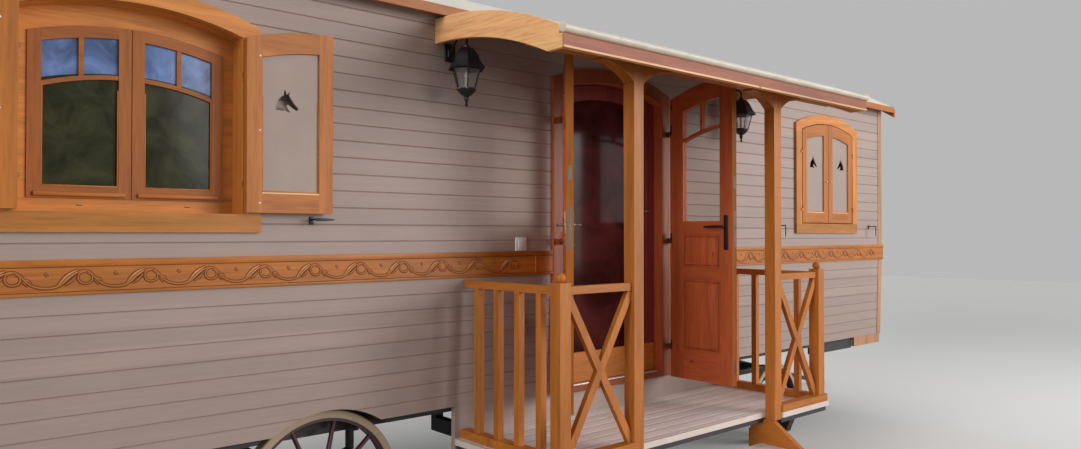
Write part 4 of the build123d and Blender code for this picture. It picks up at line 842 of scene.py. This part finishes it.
for name in shutters["leaves"]:
    place, body, title = shutterFrame(name), "shutter_" + name, titleOf(name)
    panel = copyNode(body + "_panel")
    cutter = addOutline([(u / 1000 + head["place"][0], v / 1000 + head["place"][1])
                         for u, v in head["outline"]], 0.08)
    putOn(cutter, place @ shift(0, 0, -0.02))
    saw = panel.modifiers.new("horseHead", "BOOLEAN")
    saw.object = cutter
    saw.operation = "DIFFERENCE"
    saw.solver = "EXACT"
    applyModifiers(panel)
    removePieces([cutter])
    softenEdges(panel, 0.0008, 1, 50)
    finishPiece(panel, "shutterPanel" + title, panelPaint, body=body)
    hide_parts(body + "_panel")
    (left, right), foot, lap = shutters["stiles"], shutters["panelFoot"], trim["lap"]
    beads = []
    for low, high in trim["beads"]:
        beads.append(addBlock((left - lap, foot - lap, low),
                              (right + lap, foot + trim["bead"], high), 0.002))
        for u in (left - lap, right + lap - trim["bead"]):
            beads.append(addBlock((u, foot, low),
                                  (u + trim["bead"], foot + trim["beadLength"], high), 0.002))
    finishPiece(beads, "shutterBeads" + title, paleX, 40, place, body)
    finishPiece([addBlock((left, foot - 0.008, low), (right, foot - 0.0006, high), 0.001)
                 for low, high in trim["chamfers"]], "shutterChamfer" + title, chamferWood,
                40, place, body)
    fittings = [addTurned(trim["screw"], 12, shift(*screw)) for screw in trim["screws"]]
    fittings.append(addTurned(trim["knob"], 16, shift(*trim["knobPlace"]) @ turned(-1)))
    finishPiece(fittings, "shutterFittings" + title, zinc, 40, place, body)
print("shutters ready")


# Lanterns: hexagonal hood, caged glass, candle and swan-neck arm, with -y towards the wall
lantern = {
    "places": {"Left": -1.375, "Right": 1.26}, "reach": 0.17, "sides": 6, "bar": 0.007,
    "rib": 0.005,
    "hood": [(0, 2.752), (0.098, 2.752), (0.108, 2.744), (0.113, 2.750), (0.108, 2.756),
        (0.088, 2.775), (0.073, 2.808), (0.058, 2.840), (0.034, 2.864), (0.014, 2.872),
        (0.015, 2.880), (0.007, 2.890), (0.004, 2.904), (0, 2.906)],
    "cup": [(0, 2.590), (0.012, 2.590), (0.030, 2.601), (0.046, 2.618), (0.055, 2.630),
        (0.052, 2.636), (0, 2.636)],
    "finial": [(0, 2.533), (0.004, 2.536), (0.010, 2.549), (0.005, 2.558), (0.009, 2.566),
        (0.014, 2.578), (0.011, 2.592), (0, 2.592)],
    "topRing": [(0.079, 2.740), (0.089, 2.740), (0.089, 2.752), (0.079, 2.752)],
    "footRing": [(0.046, 2.630), (0.058, 2.630), (0.058, 2.640), (0.046, 2.640)],
    "cage": [(0.052, 2.636), (0.068, 2.692), (0.084, 2.746)],
    "ribs": [(0.110, 2.751), (0.089, 2.776), (0.074, 2.809), (0.059, 2.841), (0.034, 2.866)],
    "glass": [(0.0500, 2.640), (0.0520, 2.640), (0.0822, 2.741), (0.0802, 2.741)],
    "candle": [(0, 2.634), (0.011, 2.634), (0.011, 2.690), (0, 2.690)],
    "bulb": [(0, 2.689), (0.006, 2.691), (0.014, 2.706), (0.011, 2.721), (0.003, 2.735),
        (0, 2.736)],
    "arm": [(0, -0.160, 2.862), (0, -0.125, 2.905), (0, -0.075, 2.945), (0, -0.020, 2.945),
        (0, 0.006, 2.920), (0, 0.0, 2.896)],
    "armWidths": [0.016, 0.013] + [0.012] * 4,
    "plate": ((-0.036, -0.170, 2.812), (0.036, -0.160, 2.918)),
    "boss": ((-0.020, -0.163, 2.835), (0.020, -0.150, 2.892))}
sides = lantern["sides"]
iron = [addTurned(lantern[name], steps) for name, steps in (
    ("hood", sides), ("cup", 24), ("finial", 18), ("topRing", sides), ("footRing", sides))]
for side in range(sides):
    angle = side * 2 * pi / sides
    for name, width in (("cage", lantern["bar"]), ("ribs", lantern["rib"])):
        corners = [(radius * cos(angle), radius * sin(angle), height)
                   for radius, height in lantern[name]]
        iron.append(addStroke(corners, [width] * len(corners), None, 2))
iron.append(addStroke(lantern["arm"], lantern["armWidths"], None, 5, 2))
iron += [addBlock(*lantern["plate"], 0.004, 3), addBlock(*lantern["boss"], 0.006, 3)]
made = {"Iron": (joinPieces(iron), blackIron, "black_iron", 35),
        "Glass": (addTurned(lantern["glass"], sides), lampGlass, "clear_glass", None),
        "Candle": (addTurned(lantern["candle"], 16), creamPaint, "cream_trim", 40),
        "Bulb": (addTurned(lantern["bulb"], 16), whitePlastic, "clear_glass", 60)}
for title, x in lantern["places"].items():
    place = shift(*at(x, lantern["reach"], 0)) @ spun(180, "Z")
    for name, (piece, finish, slot, smooth) in made.items():
        finishPiece(copyPiece(piece, place), "lantern" + name + title, finish, smooth)
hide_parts("lamps")
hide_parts("lamp_glass")
removePieces(parts[0] for parts in made.values())
print("lanterns ready")


# Door hardware: plates, levers, lock edges and hinge tips, in each leaf's own u, v and w
hardware = {
    "faces": ((0.048, 1), (0.003, -1)), "plate": (0.477, 0.513, 1.711, 1.948),
    "lever": (0.495, 1.872), "keyhole": 1.755, "reach": 0.155,
    "leverOut": (0.006, 0.030, 0.042, 0.044, 0.044, 0.040),
    "leverWidths": [0.016, 0.015, 0.016, 0.016, 0.017, 0.014],
    "rose": [(0, 0), (0.013, 0), (0.013, 0.004), (0.010, 0.007), (0, 0.008)],
    "key": [(0, 0), (0.0075, 0), (0.0075, 0.003), (0.005, 0.0045), (0, 0.0045)],
    "edgePlates": ((1.731, 1.975), (2.127, 2.213), (0.874, 0.960)), "edgeFace": (0.5475, 0.5492),
    "edgeWidth": (0.0155, 0.0355), "screwInset": 0.012,
    "edgeScrew": [(0, 0), (0.004, 0), (0.003, 0.0012), (0, 0.0014)],
    "bolt": ((0.549, 1.845, 0.021), (0.5515, 1.885, 0.030)), "hinges": (1.02, 1.79, 2.57),
    "strapHalf": 0.036, "strapU": (0.010, 0.027), "strapW": (0.047, 0.0500), "tipReach": 0.0202,
    "strapScrew": (0.0185, 0.028),
    "tip": [(0, 0), (0.0095, 0), (0.0095, 0.004), (0.006, 0.008), (0.007, 0.012), (0.003, 0.017),
        (0, 0.018)],
    "hingeScrew": [(0, 0), (0.0045, 0), (0.0035, 0.0013), (0, 0.0015)], "fieldInset": 0.032,
    "fieldFaces": ((0.0385, 0.0465), (0.0045, 0.0125)), "moulding": 0.009,
    "inner": {"faces": ((-0.057, -1), (-0.097, 1)), "plate": (0.417, 0.447, 1.88, 2.08),
        "lever": (0.432, 1.985), "reach": 0.11}}


def addLever(face, facing, lever, reach, plate):
    # a long plate, a keyhole and a lever on a face that looks towards facing
    u, height = lever
    top = face + facing * 0.004
    base, crest = sorted((face, top))
    along = [0, 0, -0.006, -0.03, -reach * 0.7, -reach]
    return [addBlock((plate[0], plate[2], base), (plate[1], plate[3], crest), 0.0018),
            addTurned(hardware["rose"], 20, shift(u, height, top) @ turned(facing)),
            addStroke([(u + step, height - abs(step) * 0.02, face + facing * out)
                       for step, out in zip(along, hardware["leverOut"])],
                      hardware["leverWidths"], None, 4, 2),
            addTurned(hardware["key"], 16, shift(u, hardware["keyhole"], top) @ turned(facing))]


def addLevers(sizes):
    return [part for face, facing in sizes["faces"] for part in
            addLever(face, facing, sizes["lever"], sizes["reach"], sizes["plate"])]


for hand, finish in (("left", steel), ("right", blackIron)):
    place, body, title = leafPlaces[hand], "door_leaf_" + hand, hand.title()
    finishPiece(addLevers(hardware), "doorLevers" + title, finish, 35, place, body)
    plates = []
    (near, far), (inner, outer) = hardware["edgeFace"], hardware["edgeWidth"]
    for low, high in hardware["edgePlates"]:
        plates.append(addBlock((near, low, inner), (far, high, outer), 0.0005, 1))
        for height in (low + hardware["screwInset"], high - hardware["screwInset"]):
            plates.append(addTurned(hardware["edgeScrew"], 10,
                                    shift(far, height, (inner + outer) / 2)
                                    @ spun(90, "Y")))
    plates.append(addBlock(*hardware["bolt"], 0.0008, 1))
    finishPiece(plates, "lockPlates" + title, steel, 35, place, body)
    straps = []
    (near, far), (back, front) = hardware["strapU"], hardware["strapW"]
    screwU, screwV = hardware["strapScrew"]
    for height in hardware["hinges"]:
        straps.append(addBlock((near, height - hardware["strapHalf"], back),
                               (far, height + hardware["strapHalf"], front), 0.0012))
        for end in (-1, 1):
            straps.append(addTurned(hardware["tip"], 16,
                                    shift(0, height + end * hardware["tipReach"], 0)
                                    @ spun(-90) @ turned(end)))
        for v in (-screwV, screwV):
            straps.append(addTurned(hardware["hingeScrew"], 10, shift(screwU, height + v, front)))
    finishPiece(straps, "doorHinges" + title, darkSteelAndShade, 35, place, body)
    # raised fields and mouldings of the two lower panels, on both faces
    fields = []
    (left, right), inset, width = doors["stiles"], hardware["fieldInset"], hardware["moulding"]
    for low, high in (doors["smallPanel"], doors["largePanel"]):
        for near, far in hardware["fieldFaces"]:
            fields.append(addBlock((left + inset, low + inset, near),
                                   (right - inset, high - inset, far), 0.0045))
            for start, end in (((left, low), (left + width, high)),
                               ((right - width, low), (right, high)),
                               ((left + width, low), (right - width, low + width)),
                               ((left + width, high - width), (right - width, high))):
                fields.append(addBlock((*start, near), (*end, far), 0.0025))
    finishPiece(fields, "doorPanels" + title, redZ, 40, place, body)
finishPiece(addLevers(hardware["inner"]), "innerDoorLevers", steel, 35,
            sideFrames["near"], "inner_door")
finishPiece(wallBlock((-0.486, 0.486), (-0.050, -0.012), (0.815, 0.8225), 0.002),
            "thresholdStrip", zinc, 40)
print("door hardware ready")

# Windows: glazing beads, weather bars, drain slots and the small upper panes
detail = {
    "bead": 0.006, "beadW": (-0.121, -0.1085), "beadTop": 2.46, "bar": (1.982, 2.002),
    "barW": (-0.109, -0.094), "barReach": 0.030, "slots": (-0.206, 0.243), "slotHalf": 0.014,
    "slot": (1.942, 1.948), "slotW": (-0.120, -0.1146), "archDrop": 0.046, "paneThickness": 0.0012,
    "paneProud": 0.0002}
windowPlaces = [sideFrames["near" if side > 0 else "far"] @ shift(middle * side, 0, 0)
                for middle, side in windows["places"]]
paneFace = wagon["wallY"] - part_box("window_glass")[0][1]
lap, foot = detail["bead"], windows["paneFoot"]
beads, bars, slots, upperPanes = [], [], [], []


def windowBlock(place, u, v, w, edge=0.002, segments=2):
    return putOn(addBlock(*zip(u, v, w), edge, segments), place)


for place in windowPlaces:
    for hand in (-1, 1):
        near, far = sorted(hand * edge for edge in windows["panes"])
        beads.append(windowBlock(place, (near, far), (foot - 0.001, foot + lap),
                                 detail["beadW"]))
        for u in (near, far - lap):
            beads.append(windowBlock(place, (u, u + lap), (foot, detail["beadTop"]),
                                     detail["beadW"]))
        bars.append(windowBlock(place, (near - detail["barReach"], far + detail["barReach"]),
                                detail["bar"], detail["barW"], 0.005, 3))
    for u in detail["slots"]:
        slots.append(windowBlock(place, (u - detail["slotHalf"], u + detail["slotHalf"]),
                                 detail["slot"], detail["slotW"]))
    for hand in (-1, 1):
        near, far = windows["panes"]
        reach = [near - lap + (far - near + 2 * lap) * step / 10 for step in range(11)]
        top = [(hand * u, windowArch(u) - detail["archDrop"]) for u in reach]
        low = [(hand * u, windowArch(u) - windows["transom"] + lap) for u in reach]
        upperPanes.append(putOn(addOutline(top + low[::-1], detail["paneThickness"]),
                                place @ shift(0, 0, paneFace + detail["paneProud"])))
# the small upper panes carry a painted sky reflection
finishPiece(upperPanes, "upperPanes", skyGlass)
finishPiece(beads, "glazingBeads", orangeZ, 40)
finishPiece(bars, "weatherBars", orangeX, 40)
finishPiece(slots, "drainSlots", blackIron, 40)

# Shutter catches, turned level under the open shutters of the left window
catch = {
    "spread": 0.81, "height": 1.893, "turnedFrom": 1.888,
    "plate": ((-0.012, 1.868, -0.002), (0.012, 1.908, 0.004)),
    "armOut": (0.002, 0.030, 0.060, 0.078), "armWidths": [0.011, 0.010, 0.010, 0.011],
    "tongue": [(-0.008, 1.900), (0.006, 1.900), (0.007, 1.870), (0.005, 1.820), (0.001, 1.796),
        (-0.004, 1.798), (-0.007, 1.830), (-0.009, 1.870)],
    "tongueOut": 0.074, "tongueThickness": 0.005}
catches = []
for middle, side in windows["places"][:2]:
    for hand in (-1, 1):
        tongue = catch["tongue"]
        if middle < 0:
            tongue = [(catch["turnedFrom"] - v, catch["height"] + u) for u, v in tongue]
        parts = [addBlock(*catch["plate"], 0.0015),
                 addStroke([(0, catch["height"], out) for out in catch["armOut"]],
                           catch["armWidths"]),
                 putOn(addOutline(tongue, catch["tongueThickness"], 0.0012),
                       shift(0, 0, catch["tongueOut"]))]
        catches.append(putOn(joinPieces(parts), sideFrames["near"]
                             @ shift(middle + hand * catch["spread"], 0, 0)))
finishPiece(catches, "shutterCatches", blackIron, 40)
finishPiece([wallBlock((-0.8815, -0.7965), (-0.004, 0.009), (1.7145, 1.7995), 0.004),
             wallBlock((-0.862, -0.816), (0.008, 0.013), (1.730, 1.784), 0.003)],
            "switchPlate", whitePlastic, 40)
finishPiece([wallBlock((-0.856, -0.792), (-0.02, 0.018), (1.194, 1.300), 0.006),
             wallBlock((-0.850, -0.798), (0.016, 0.026), (1.204, 1.262), 0.005),
             wallBlock((-0.846, -0.802), (0.016, 0.022), (1.268, 1.292), 0.003)],
            "outdoorSocket", socketPaint, 40)
print("window and wall details ready")


# Wheels: painted line inside the rim, hub cap and bolts
wheel = {
    "line": 0.007, "lineLow": 0.032, "lineHigh": 0.0362, "lap": 0.001, "cap": 0.046,
    "hubHalf": 0.085, "bolts": 6, "boltCircle": 0.058, "rims": (0.041, 0.036),
    "bolt": [(0, 0), (0.0075, 0), (0.0075, 0.004), (0.005, 0.006), (0, 0.0065)]}
cap, end = wheel["cap"], wheel["hubHalf"]
capOutline = [(0, end - 0.002), (cap, end - 0.002), (cap, end + 0.003), (cap - 0.006, end + 0.010),
              (0.018, end + 0.016), (0, end + 0.0175)]
for name in wheels:
    low, high = [Vector(corner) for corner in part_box(name + "_rim")]
    middle = (low + high) / 2
    inner = (high.z - low.z) / 2 - wheel["rims"]["front" in name]
    outward = -1 if middle.y < middleY else 1
    place = shift(*middle) @ spun(-90 * outward)
    near, far = inner - wheel["line"], inner + wheel["lap"]
    line = addTurned([(near, wheel["lineLow"]), (far, wheel["lineLow"]),
                      (far, wheel["lineHigh"]), (near, wheel["lineHigh"])], 72)
    finishPiece(line, titleOf(name) + "Line", brownPaint, 40, place, name)
    caps = [addTurned(capOutline, 32)]
    for index in range(wheel["bolts"]):
        angle = index * 2 * pi / wheel["bolts"]
        x, y = [wheel["boltCircle"] * share for share in (cos(angle), sin(angle))]
        caps.append(addTurned(wheel["bolt"], 6, shift(x, y, end)))
    finishPiece(caps, titleOf(name) + "Cap", darkSteelAndShade, 35, place, name)
print("wheels ready")


# Canopy: membrane above and boards below, moulding, gutter ends and clips
# the soffit boards under the canopy carry painted light: a paler copy of the cladding's taupe
dressNode("canopy_roof", [membrane, litTaupeSoffit],
          lambda face: 0 if face.normal.z > canopy["roofSide"] else 1, edge=0.001)
half, gutterEnd = canopy["mouldingHalf"], canopy["gutterEnd"]
finishPiece(wallBlock((-half, half), *canopy["moulding"], 0.003), "canopyMoulding", chamferWood,
            40)
ends = [addTurned(canopy["cap"], 24, shift(*at(side * gutterEnd[0], *gutterEnd[1:]))
                  @ spun(90 * side, "Y")) for side in (-1, 1)]
ends += [wallBlock((x - canopy["clipHalf"], x + canopy["clipHalf"]), *canopy["clip"], 0.001, 1)
         for x in canopy["clips"]]
finishPiece(ends, "gutterFittings", creamPaint, 40)

# Deck: two screws in each board at each joist
deck = {
    "top": 0.627, "pitch": 0.103, "rows": 8, "joists": (-1.2, -0.72, -0.24, 0.24, 0.72, 1.2),
    "screws": (0.026, 0.080), "lastScrew": 0.75,
    "screw": [(0, 0), (0.0042, 0), (0.0038, 0.0005), (0, 0.0007)]}
screw = addTurned(deck["screw"], 8)
screws = [copyPiece(screw, shift(*at(x, row * deck["pitch"] + offset, deck["top"])))
          for x in deck["joists"] for row in range(deck["rows"]) for offset in deck["screws"]
          if row * deck["pitch"] + offset < deck["lastScrew"]]
removePieces([screw])
finishPiece(screws, "deckScrews", steel)
print("canopy and deck details ready")


# Roof: welded seams across the membrane
seam = {"shares": (0.14, 0.32, 0.5, 0.68, 0.86), "width": 0.009, "steps": 12, "sunk": 0.0035,
        "spread": 0.995, "eave": 3.11}
low, high = [Vector(corner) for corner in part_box("roof")]
half, rise, middle = (high.y - low.y) / 2, high.z - seam["eave"], (low.y + high.y) / 2
radius = (half**2 + rise**2) / (2 * rise)
reach = [-half + 2 * half * step / seam["steps"] for step in range(seam["steps"] + 1)]
seams = []
for share in seam["shares"]:
    x = low.x + (high.x - low.x) * share
    points = [(x, middle + y * seam["spread"],
               high.z - radius + sqrt(radius**2 - y * y) - seam["sunk"]) for y in reach]
    seams.append(addStroke(points, [seam["width"]] * len(points)))
finishPiece(seams, "roofSeams", membrane, 60)
print("roof ready")
